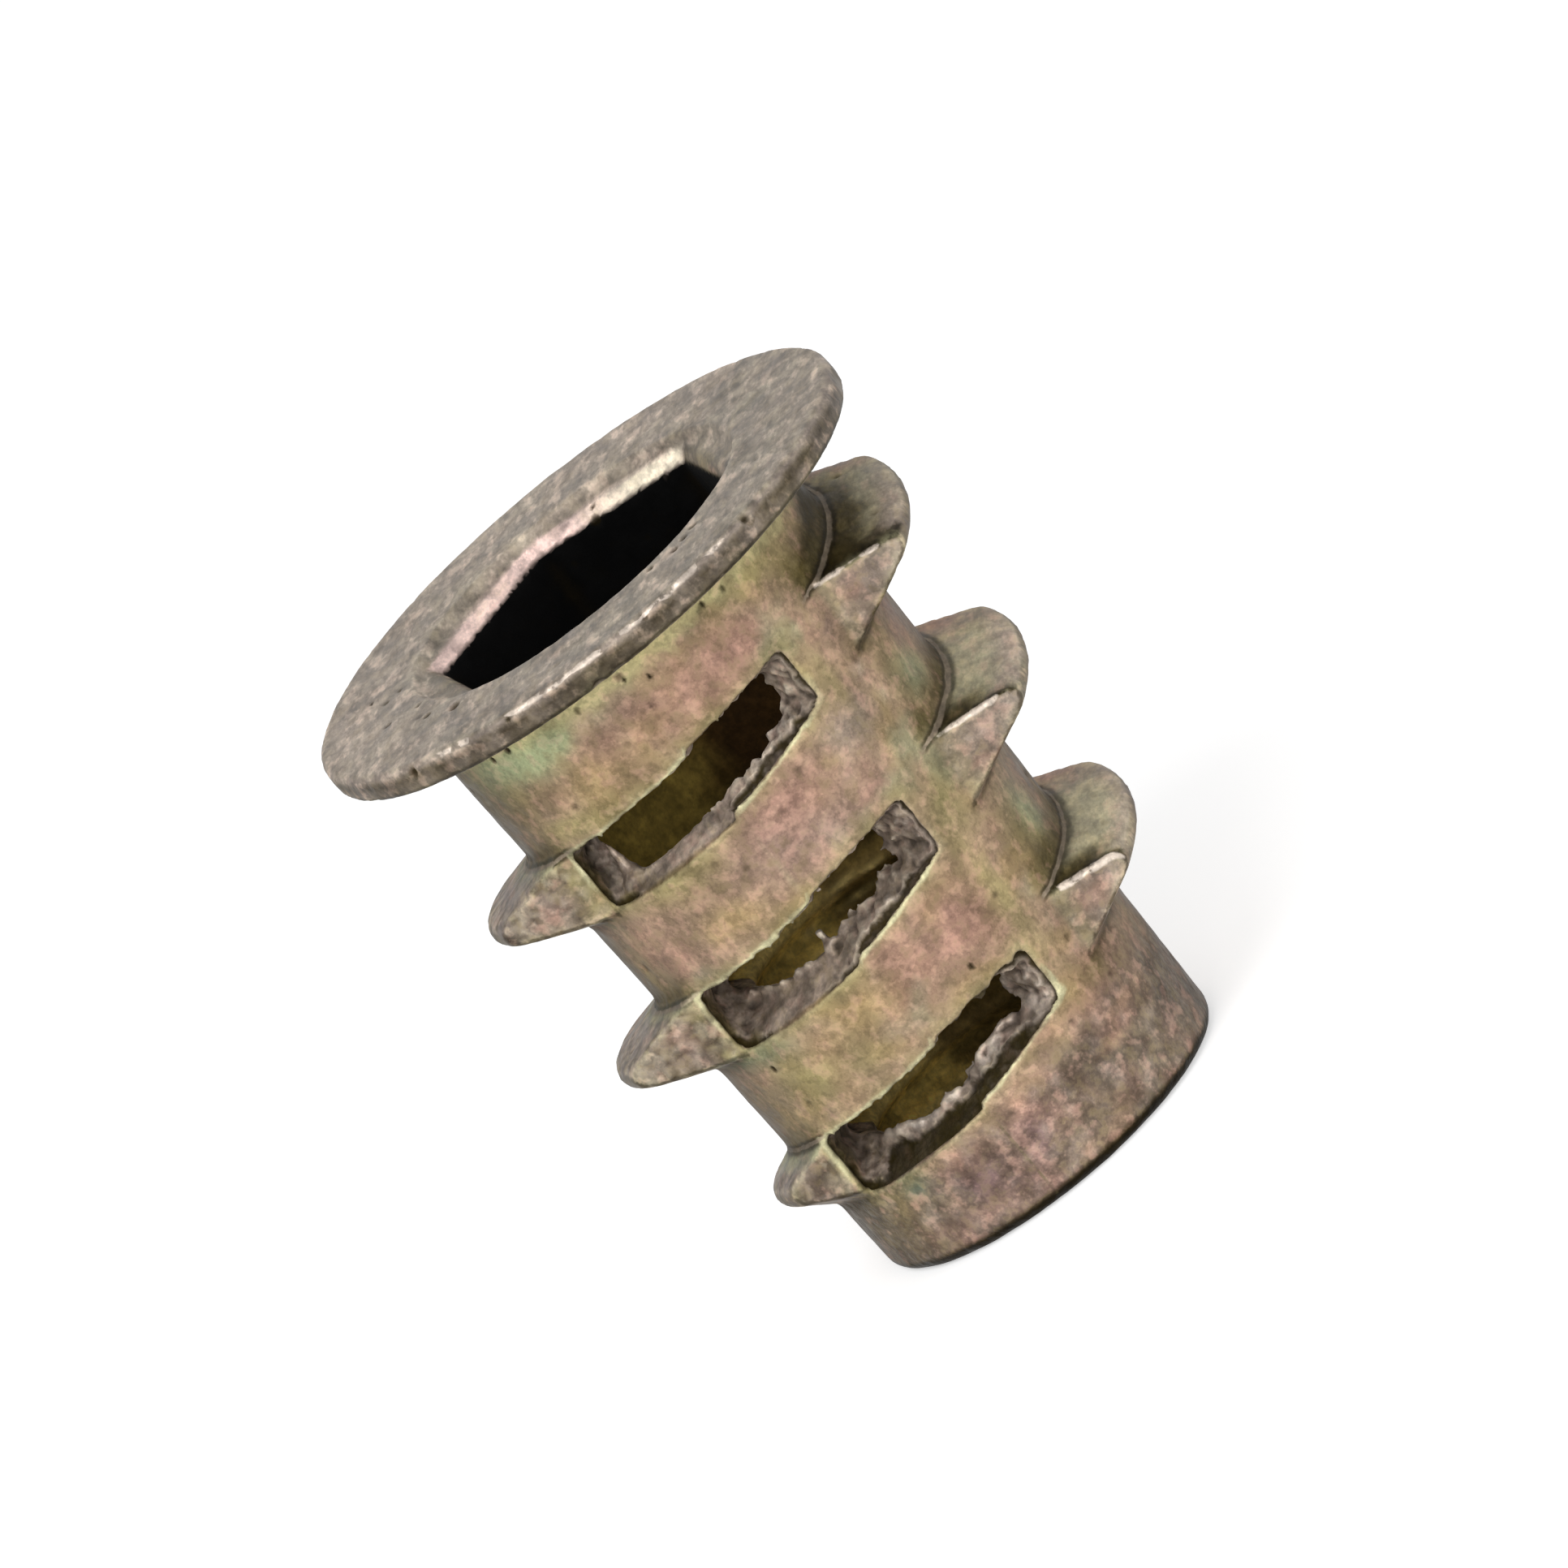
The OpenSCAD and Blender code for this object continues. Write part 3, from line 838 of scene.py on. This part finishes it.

# Painted contact shade: the foot's lower edge is darkened all round
paint(DARKEST_BROWN, (1 - hollow) * ramp(z, 0.44, 0.28), 0.92)
# The lowest window's flash ridge: pale metal made near-white by a painted highlight
paint(RIDGE_WHITE, under_gap * ramp(x, -3.2, -2.8) * ramp(x, 3.4, 2.9) * ramp(crumble, -0.4, 0.3), 0.8)
# Painted shade in the lowest window's wide gap, and along the windows' left outer edges
paint(OLIVE, torn_wall * ramp(gap, 0.05, 0.2) * lowest_window, 0.6)
paint(OLIVE, ramp(np.abs(window), 0.12, 0.03) * ramp(x, -3.3, -3.8) * in_front, 0.8)
paint(OLIVE, pocket, 0.35)
# Painted shade above the ribs' roots past their front ends, then the flange's painted shadow on the
# barrel above the top rib
paint(DARK_OLIVE, end_root * ramp(spot + 1.5 * top_turn, -0.5, 0.2), np.where(top_turn, 1, 0.6))
paint(DARKEST_BROWN, top_shadow, 0.85)
# The right ribs' top flanks: grey-green and pale pink tones, then painted shade near the top rib's root
# under the flange and beside the ridges
coat(flank_top,
     (GREEN_GREY, ramp(depth, -1.9, -1.1), 0.8),
     (PALE_PINK, ramp(depth, -1.2, -1.7), 0.6),
     (DARK_OLIVE, ramp(depth + 0.3 * spot, -1.3, -0.6) * top_turn, 0.85),
     (DARKEST_BROWN, ramp(from_ridge - 0.4 * mottle, 0.8, 0.4) * top_turn, 0.8),
     (DARK_OLIVE, ramp(from_ridge, 1.2, 0.4) * ramp(depth, -1.6, -0.7), 0.85),
     (DARKEST_BROWN, ramp(from_ridge, 0.35, 0.15), 0.9))
# Painted shade just above the ribs' roots, and a painted shadow just under them
paint(OLIVE, over_root * ramp(depth, 0.3, 0.1), 0.6)
paint(DARKEST_BROWN, under_root * ramp(depth, 0.15, 0.05), 0.4)
print("mean tone with the dirt:", mean_tone())

# %% The hollow, the bevel and the nicks
far_bevel = bevel * ramp(angle, 43, 47) * ramp(angle, 169, 165)
# Inside the hole and socket: the olive tone, painted much lighter low in the tapped hole where light
# falls in through the windows, painted highlights on the thread's crests and as glints, painted shade on
# the right side, and near-black painted shade up in the socket
coat(hollow,
     (HOLLOW_LEFT, 1, 1),
     (HOLLOW_LOW_LIT, ramp(z, socket_floor, socket_floor - 0.6), 1),
     (GOLD, ramp(z, socket_floor, socket_floor - 1.2) * ramp(radius, 3.6, 3.45), 0.6),
     (HOLLOW_SHADE, ramp(x + 0.6 * spot, -2.1, -0.5), np.where(z > socket_floor - 0.6, 0.95, 0.55)),
     *((BRIGHT, bell(angle, at_angle, wide) * bell(z, height, high), 1)
       for at_angle, height, wide, high in GLINTS),
     (BLACK, ramp(z, socket_floor + 2.2, socket_floor + 5), 1))
# Painted shade in the nicks
paint(DARKEST_BROWN, nicked, 0.75)
# A painted highlight on the crumb
paint(BRIGHT_CREAM, 1 - ramp(np.linalg.norm(points - CRUMB, axis=1), 0.13, 0.2))
# The bevel is darker grey, and its far side, which faces the lamps, gets a painted highlight in pink and
# cream
paint(DARK_GREY, bevel, 0.7)
paint(BRIGHT_PINK, far_bevel)
paint(BRIGHT_CREAM, far_bevel * ramp(x, -0.5, 2))
# Painted shade in the notch of the bevel
paint(DARKEST_BROWN, nicked * bevel, 0.95)
print("mean tone in the end:", mean_tone())

# %% Write the measures on the mesh
# The ribs' ridges get a broken line of painted highlight that ends before their tips
breaks = ramp(noise_at_points(1.1, (4, 6, 9)), 0.1, 0.3)
bright_ridge = from_ridge + 0.01 - 0.03 * (turn_of > 0) + 0.06 * breaks + 0.2 * ramp(depth, -1.5, -1.85)
broad_bend = bend(8) / 0.04
edge = np.clip(-broad_bend, 0, 1) * (1 - 0.75 * on_flange) * (1 - hollow) * ramp(z, 0.4, 0.7)
edge *= 1 - torn_wall * ramp(x, -2.6, -3.2)
edge *= 1 - 0.8 * (1 - lip) * ramp(np.abs(window), 0.4, 0.2)
measures = {
    "depth": depth,
    "window": window,
    "gap": gap,
    # distance to the lines of painted highlight: the flash on the sills, the ribs' ridges and the rim's
    # dashes
    "flash": np.minimum(from_sill, np.minimum(bright_ridge, from_rim + 0.02)),
    "root": over_thread - root_above,
    "beside": beside_ribs,
    "lip": lip,
    "scarred": np.clip(on_flange + tail + 0.8 * on_rib + 0.6 * torn_wall, 0, 1),
    "under": from_under,
    "torn": torn_wall,
    "level": ramp(np.abs(facing[:, 2]), 0.3, 0.7),
    "flange": on_flange,
    "hollow": hollow,
    "edge": edge,
    "crevice": np.clip(broad_bend, 0, 1) * (1 - 0.6 * on_flange),
}
for name, values in measures.items():
    layer = mesh.attributes.new(name, "FLOAT", "POINT")
    layer.data.foreach_set("value", np.clip(values, -2, 2).astype(np.float32))
layer = mesh.attributes.new("tone", "FLOAT_COLOR", "POINT")
linear = (np.clip(tone, 0, 255) / 255) ** 2.2
layer.data.foreach_set("color", np.column_stack([linear, np.ones(count)]).astype(np.float32).ravel())
mesh.vertices.foreach_set("co", (points * MM).ravel())
mesh.update()
print({name: round(float(values.mean()), 3) for name, values in measures.items()})

# %% Thin out the flat places
MOST_TRIANGLES = 190_000
share = MOST_TRIANGLES / sum(len(face.vertices) - 2 for face in mesh.polygons)
if share < 1:
    add_modifier(casting, "DECIMATE", ratio=share)
    apply_modifiers(casting)
casting.data.shade_smooth()
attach(casting, "root")
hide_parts("threaded_insert")
print(f"the casting has {sum(len(face.vertices) - 2 for face in casting.data.polygons)} triangles")

# %% [markdown]
# ## The finish close up
# The broad tones are on the mesh. What is finer than the mesh is left to the shader: flecks of
# straw and pink, fine dark specks, the thin lines of painted shade and painted highlight along
# edges and gaps, and the relief of the cast skin. The film is one node group and the relief is
# another.


# %% Helpers for nodes
def srgb(red, green, blue):
    """A colour given in the usual 0 to 255 steps, as the linear values that shaders use."""
    return tuple((step / 255) ** 2.2 for step in (red, green, blue)) + (1,)


def place_node(kind, settings=None, tree=None, **inputs):
    """A shader node with its settings and inputs; an input is a value or another node's output.

    Without a tree it goes into the one that its first linked input comes from.
    """
    linked = [value for value in inputs.values() if isinstance(value, bpy.types.NodeSocket)]
    tree = tree or linked[0].id_data
    node = tree.nodes.new("ShaderNode" + kind)
    for key, value in (settings or {}).items():
        setattr(node, key, value)
    for key, value in inputs.items():
        socket = node.inputs[int(key[1:])] if key[0] == "_" else node.inputs[key.replace("_", " ")]
        if value in linked:
            tree.links.new(value, socket)
        else:
            socket.default_value = value
    return node


def maths(operation, a, b=0.0, clamp=False):
    """The result of a Math node."""
    return place_node("Math", {"operation": operation, "use_clamp": clamp}, _0=a, _1=b).outputs[0]


def chained(operation, values):
    """One operation over several values, from the first to the last."""
    result = values[0]
    for value in values[1:]:
        result = maths(operation, result, value)
    return result


def product(*values):
    """The product of several values."""
    return chained("MULTIPLY", values)


def total(*values):
    """The sum of several values."""
    return chained("ADD", values)


def without(value):
    """What a value leaves of 1."""
    return maths("SUBTRACT", 1.0, value)


def mixed(share, a, b, blend="MIX"):
    """Two colours mixed by a share."""
    return place_node("Mix", {"data_type": "RGBA", "blend_type": blend},
                      _0=share, _6=a, _7=b).outputs[2]


def between(share, a, b):
    """Two values mixed by a share."""
    return place_node("Mix", _0=share, _2=a, _3=b).outputs[0]


def stretched(value, low, high, to_low=0.0, to_high=1.0):
    """A value spread so that low becomes 0 and high becomes 1, and held between them."""
    return place_node("MapRange", {"interpolation_type": "SMOOTHSTEP"}, Value=value, From_Min=low,
                      From_Max=high, To_Min=to_low, To_Max=to_high).outputs["Result"]


def noise_at(where, scale, detail=2.0, roughness=0.5):
    """Smooth noise at a number of waves per millimetre."""
    return place_node("TexNoise", Vector=where, Scale=scale, Detail=detail,
                      Roughness=roughness).outputs["Fac"]


def drawn_out(where, level, *settings):
    """Noise that is drawn out along Y where the surface lies level."""
    longer = place_node("Mapping", _0=where, Scale=(1, 0.4, 1)).outputs[0]
    return between(level, noise_at(where, *settings), noise_at(longer, *settings))


def attribute(tree, name, output="Fac"):
    """One of the measures that were written on the mesh."""
    return place_node("Attribute", {"attribute_name": name}, tree).outputs[output]


def new_group(name, inputs, outputs):
    """An empty node group with its sockets, and its input and output nodes."""
    group = bpy.data.node_groups.new(name, "ShaderNodeTree")
    for way, sockets in (("INPUT", inputs), ("OUTPUT", outputs)):
        for socket, kind in sockets.items():
            group.interface.new_socket(socket, in_out=way, socket_type="NodeSocket" + kind)
    given = group.nodes.new("NodeGroupInput").outputs
    return group, given, group.nodes.new("NodeGroupOutput").inputs


def send(value, socket):
    """Links a value to a socket that is there already."""
    value.id_data.links.new(value, socket)


print("mid grey, as shaders use it:", round(srgb(128, 128, 128)[0], 3))

# %% The film
PINK_FLECK = srgb(194, 152, 138)
STRAW_FLECK = srgb(184, 164, 120)
OLIVE_FLECK = srgb(112, 104, 76)
LIP = srgb(218, 212, 170)
ROOT_LINE = srgb(170, 154, 134)
# Pale flash, brightened as a painted highlight
FLASH_HIGHLIGHT = srgb(242, 226, 210)
# Painted shade
SHADE_DARK = srgb(34, 28, 14)
# Painted shade in the gaps round the windows
GAP_SHADE = srgb(54, 46, 20)


def build_film():
    """Colour, roughness and metalness of the passivated skin."""
    group, given, out = new_group(
        "passivation film", {"where": "Vector", "tone": "Color", **dict.fromkeys(measures, "Float")},
        {"colour": "Color", "roughness": "Float", "metal": "Float"})
    where, level, depth, torn, edge = (given[n] for n in ("where", "level", "depth", "torn", "edge"))
    across, along, height = place_node("SeparateXYZ", _0=where).outputs
    blotch = noise_at(where, 1.1, 4.0, 0.65)
    fleck = drawn_out(where, level, 2.2, 3.0, 0.6)
    speck = drawn_out(where, level, 4.0, 3.0, 0.65)
    ragged = product(total(fleck, -0.5), 0.3)
    outside = without(given["hollow"])
    skin = stretched(depth, 0.12, 0.04)

    pale_tone = place_node("RGBToBW", Color=given["tone"]).outputs[0]
    thin = product(without(product(given["flange"], 0.6)), outside, stretched(pale_tone, 0.02, 0.16))
    seam = product(stretched(maths("ABSOLUTE", across), 0.06, 0.02), stretched(along, 0.0, -1.0),
                   stretched(blotch, 0.4, 0.6), stretched(height, 3.3, 2.7, 0.15, 0.7))
    off_root = maths("ABSOLUTE", total(given["root"], product(ragged, 0.4)))
    at_root = product(stretched(depth, -0.4, -0.25), skin, given["beside"])
    beside_window = product(stretched(total(given["window"], ragged), 0.22, 0.11), skin,
                            stretched(given["window"], -0.12, -0.04))
    in_gap = product(stretched(total(given["gap"], ragged), -0.08, 0.07), torn,
                     stretched(depth, 0.02, 0.08), stretched(blotch, 0.35, 0.55, 0.5, 0.92))
    coats = [
        (PINK_FLECK, stretched(fleck, 0.5, 0.68), thin, 0.3),
        (STRAW_FLECK, stretched(fleck, 0.48, 0.34), thin, 0.25),
        (OLIVE_FLECK, stretched(speck, 0.52, 0.68), thin, 0.3),
        (OLIVE_FLECK, seam, skin),
        # painted shade in the corner along the ribs' roots
        (SHADE_DARK, stretched(off_root, 0.17, 0.08), at_root, 0.7),
        (LIP, beside_window, given["lip"], stretched(blotch, 0.35, 0.55, 0.35, 1.0), 0.95),
        (ROOT_LINE, stretched(off_root, 0.06, 0.03), at_root, 0.75),
        (LIP, edge, stretched(blotch, 0.4, 0.6), 0.4),
        # pale flash with a painted highlight along the torn walls' edges
        (FLASH_HIGHLIGHT, edge, torn, 0.6),
        # painted shade in the corners
        (SHADE_DARK, given["crevice"], 0.8),
        # painted shade in the gaps round the windows
        (GAP_SHADE, in_gap),
        # painted contact shade along the foot
        (SHADE_DARK, stretched(total(height, product(ragged, 0.5)), 0.36, 0.2), outside, 0.92),
        # painted shadow under the ribs' end faces
        (SHADE_DARK, stretched(total(given["under"], ragged), 0.13, 0.05), 0.6),
        # painted highlights along the flash, the ribs' ridges and the rim's dashes
        (FLASH_HIGHLIGHT, stretched(total(given["flash"], product(ragged, 0.6)), 0.14, 0.06),
         stretched(speck, 0.3, 0.45), 0.9),
    ]
    colour = given["tone"]
    for tint, *weights in coats:
        colour = mixed(product(*weights), colour, tint)

    mottle = drawn_out(where, level, 1.2, 2.0, 0.5)
    grit = mixed(given["flange"], stretched(mottle, 0.3, 0.7, 0.94, 1.05),
                 product(stretched(mottle, 0.3, 0.7, 0.88, 1.13), stretched(fleck, 0.3, 0.7, 0.78, 1.16)))
    crease = maths("ABSOLUTE", total(fleck, -0.5))
    vein = between(given["scarred"], stretched(crease, 0.0, 0.05, 0.88, 1.0),
                   stretched(crease, 0.0, 0.12, 0.82, 1.06))
    shade = product(stretched(blotch, 0.3, 0.7, 0.62, 1.22), stretched(speck, 0.3, 0.7, 0.74, 1.2),
                    grit, vein)
    grey = place_node("CombineColor", _0=shade, _1=shade, _2=shade).outputs[0]
    send(mixed(1.0, colour, grey, "MULTIPLY"), out["colour"])

    rough = total(stretched(blotch, 0.3, 0.7, 0.42, 0.62), product(given["crevice"], 0.3))
    send(maths("ADD", rough, product(given["hollow"], 0.4), True), out["roughness"])
    dull = maths("MAXIMUM", given["hollow"], given["crevice"])
    send(product(without(dull), 0.5), out["metal"])
    return group


film = build_film()
print(f"the film has {len(film.nodes)} nodes")


# %% The relief
def build_relief():
    """Height of the fine grain of a cast skin, in millimetres."""
    group, given, out = new_group(
        "cast grain", {"where": "Vector", "torn": "Float", "level": "Float"}, {"height": "Float"})
    where, torn, level = given["where"], given["torn"], given["level"]
    above_floor = place_node("SeparateXYZ", _0=where).outputs[2]
    swell = total(stretched(above_floor, 3.6, 2.4, 0.03, 0.13), product(torn, 0.06))
    coarse = drawn_out(where, level, 2.3, 3.0, 0.6)
    fine = drawn_out(where, level, 6.0, 2.0, 0.6)
    send(total(product(coarse, swell), product(fine, 0.007)), out["height"])
    return group


relief = build_relief()
print(f"the relief has {len(relief.nodes)} nodes")

# %% [markdown]
# ## Darker towards the outline
# The material darkens the film towards brown by how far a place turns away from the eye, most on the
# barrel and least where the surface lies level. This is painted shade, which gives the barrel's sides
# their fall-off.

# %% The finish
GLANCING_SHADE = srgb(52, 46, 36)


def finish_material():
    """Zinc with its yellow film, for the whole casting."""
    material = bpy.data.materials.new("passivated_zinc")
    material.use_nodes = True
    tree = material.node_tree
    tree.nodes.clear()
    given = {name: attribute(tree, name) for name in measures}
    place = place_node("TexCoord", None, tree).outputs["Object"]
    where = place_node("Mapping", _0=place, Scale=(1 / MM,) * 3).outputs[0]
    film_node = place_node("Group", {"node_tree": film}, where=where,
                           tone=attribute(tree, "tone", "Color"), **given)
    relief_node = place_node("Group", {"node_tree": relief}, where=where, torn=given["torn"],
                             level=given["level"])
    bump = place_node("Bump", Height=relief_node.outputs[0], Strength=0.7, Distance=MM)
    glancing = place_node("LayerWeight", None, tree, Blend=0.5).outputs["Facing"]
    on_barrel = product(stretched(given["depth"], 0.2, 0.0), without(given["flange"]))
    # Painted shade towards the outline
    outline_shade = maths("MAXIMUM", product(stretched(glancing, 0.35, 1.0, 0.0, 0.8), on_barrel),
                   stretched(glancing, 0.88, 0.98, 0.0, 0.85))
    outline_shade = product(outline_shade, stretched(given["level"], 0.0, 1.0, 1.0, 0.4))
    shown = film_node.outputs
    shader = place_node(
        "BsdfPrincipled", Base_Color=mixed(outline_shade, shown["colour"], GLANCING_SHADE),
        Roughness=shown["roughness"], Metallic=shown["metal"], Specular_IOR_Level=0.1,
        Normal=bump.outputs[0])
    place_node("OutputMaterial", Surface=shader.outputs[0])
    return material


casting.data.materials.clear()
casting.data.materials.append(finish_material())
print("finish:", casting.data.materials[0].name)

# %% [markdown]
# ## A pale floor and soft light
# The insert stands on a white floor under large lamps, as on a catalogue page. The floor and the
# sky look white to the camera and in reflections, which is set by the kind of ray and not by more
# light, so the light on the part stays plain.


# %% Floor and sky
FLOOR_SIZE = 2.4        # in metres
FLOOR_GLOW = 0.5        # how brightly the floor shines for rays that see it directly
AMBIENT = 0.45          # light that the sky sends from all sides
WHITE = (1, 1, 1, 1)


def seen_directly(tree):
    """1 for rays from the camera, a mirror or glass, and 0 for the light that lands on things."""
    path = place_node("LightPath", None, tree).outputs
    sharp = maths("MAXIMUM", path["Is Camera Ray"], path["Is Glossy Ray"])
    return maths("MAXIMUM", sharp, path["Is Transmission Ray"])


def build_floor():
    """A white floor that still shows the part's shadow."""
    bm = bmesh.new()
    bmesh.ops.create_grid(bm, x_segments=1, y_segments=1, size=FLOOR_SIZE / 2)
    floor = new_piece("floor", bm)
    material = bpy.data.materials.new("white_floor")
    material.use_nodes = True
    tree = material.node_tree
    inputs = tree.nodes["Principled BSDF"].inputs
    inputs["Base Color"].default_value = (0.9, 0.9, 0.9, 1)
    inputs["Roughness"].default_value = 0.9
    inputs["Specular IOR Level"].default_value = 0.1
    inputs["Emission Color"].default_value = WHITE
    send(product(seen_directly(tree), FLOOR_GLOW), inputs["Emission Strength"])
    floor.data.materials.append(material)
    floor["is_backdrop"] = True


def build_sky():
    """A white surrounding that lights the part evenly."""
    world = bpy.data.worlds.new("studio")
    world.use_nodes = True
    tree = world.node_tree
    inputs = tree.nodes["Background"].inputs
    inputs["Color"].default_value = WHITE
    send(maths("MAXIMUM", seen_directly(tree), AMBIENT), inputs["Strength"])
    bpy.context.scene.world = world


build_floor()
build_sky()
print(f"a floor of {FLOOR_SIZE} m")

# %% [markdown]
# ## The camera
# A long lens from a little above, turned slightly to the right of the windows, and rolled so that
# the insert leans to the left in the picture. A long lens keeps the flange's ellipse and the
# barrel's sides as plain as in a catalogue.

# %% Camera
AZIMUTH = math.radians(9.6)
ELEVATION = math.radians(15.3)
ROLL = math.radians(40)
LENS = 1000
SENSOR = 36
VIEW_WIDTH = 40.25      # width of the picture at the insert, in mm
LOOK_RIGHT, LOOK_UP = 0.5, -7.866     # middle of the picture, from the middle of the flange's top

towards = Vector((math.sin(AZIMUTH), -math.cos(AZIMUTH), 0))
to_camera = towards * math.cos(ELEVATION) + Vector((0, 0, math.sin(ELEVATION)))
level_right = Vector((math.cos(AZIMUTH), math.sin(AZIMUTH), 0))
level_up = to_camera.cross(level_right)
target = (Vector((0, 0, total_h)) + level_right * LOOK_RIGHT + level_up * LOOK_UP) * MM
distance = VIEW_WIDTH * MM * LENS / SENSOR
camera_right = level_right * math.cos(ROLL) - level_up * math.sin(ROLL)
camera_up = level_up * math.cos(ROLL) + level_right * math.sin(ROLL)

camera_data = bpy.data.cameras.new("camera")
camera_data.lens = LENS
camera_data.sensor_width = SENSOR
camera_data.clip_start = 0.01
camera_data.clip_end = 10
camera = bpy.data.objects.new("camera", camera_data)
bpy.context.scene.collection.objects.link(camera)
axes = Matrix((camera_right, camera_up, to_camera)).transposed().to_4x4()
camera.matrix_world = Matrix.Translation(target + to_camera * distance) @ axes
bpy.context.scene.camera = camera
print(f"camera at {[round(v, 3) for v in camera.location]}, {distance * 1000:.0f} mm away")

# %% Lamps
middle = Vector((0, 0, total_h * MM / 2))


def add_lamp(name, from_right, from_up, from_front, size, power):
    """A square lamp that looks at the insert, placed as seen from the camera, in metres."""
    data = bpy.data.lights.new(name, "AREA")
    data.size = size
    data.energy = power
    lamp = bpy.data.objects.new(name, data)
    place = level_right * from_right + Vector((0, 0, from_up)) + towards * from_front
    lamp.location = place
    lamp.rotation_euler = (place - middle).to_track_quat("Z", "Y").to_euler()
    bpy.context.scene.collection.objects.link(lamp)


add_lamp("key", -0.12, 0.32, 0.26, 0.22, 0.55)
add_lamp("front", -0.03, 0.14, 0.42, 0.16, 0.42)
add_lamp("fill", 0.3, 0.14, 0.2, 0.2, 0.15)

# %% The size of what is shown
bpy.context.scene.view_settings.view_transform = "Standard"
seen_low, seen_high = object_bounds()
sizes = {"cad": [list(cad_low), list(cad_high)], "visual": [list(seen_low), list(seen_high)]}
print("visual box in mm:", [round(v * 1000, 2) for v in (*seen_low, *seen_high)])
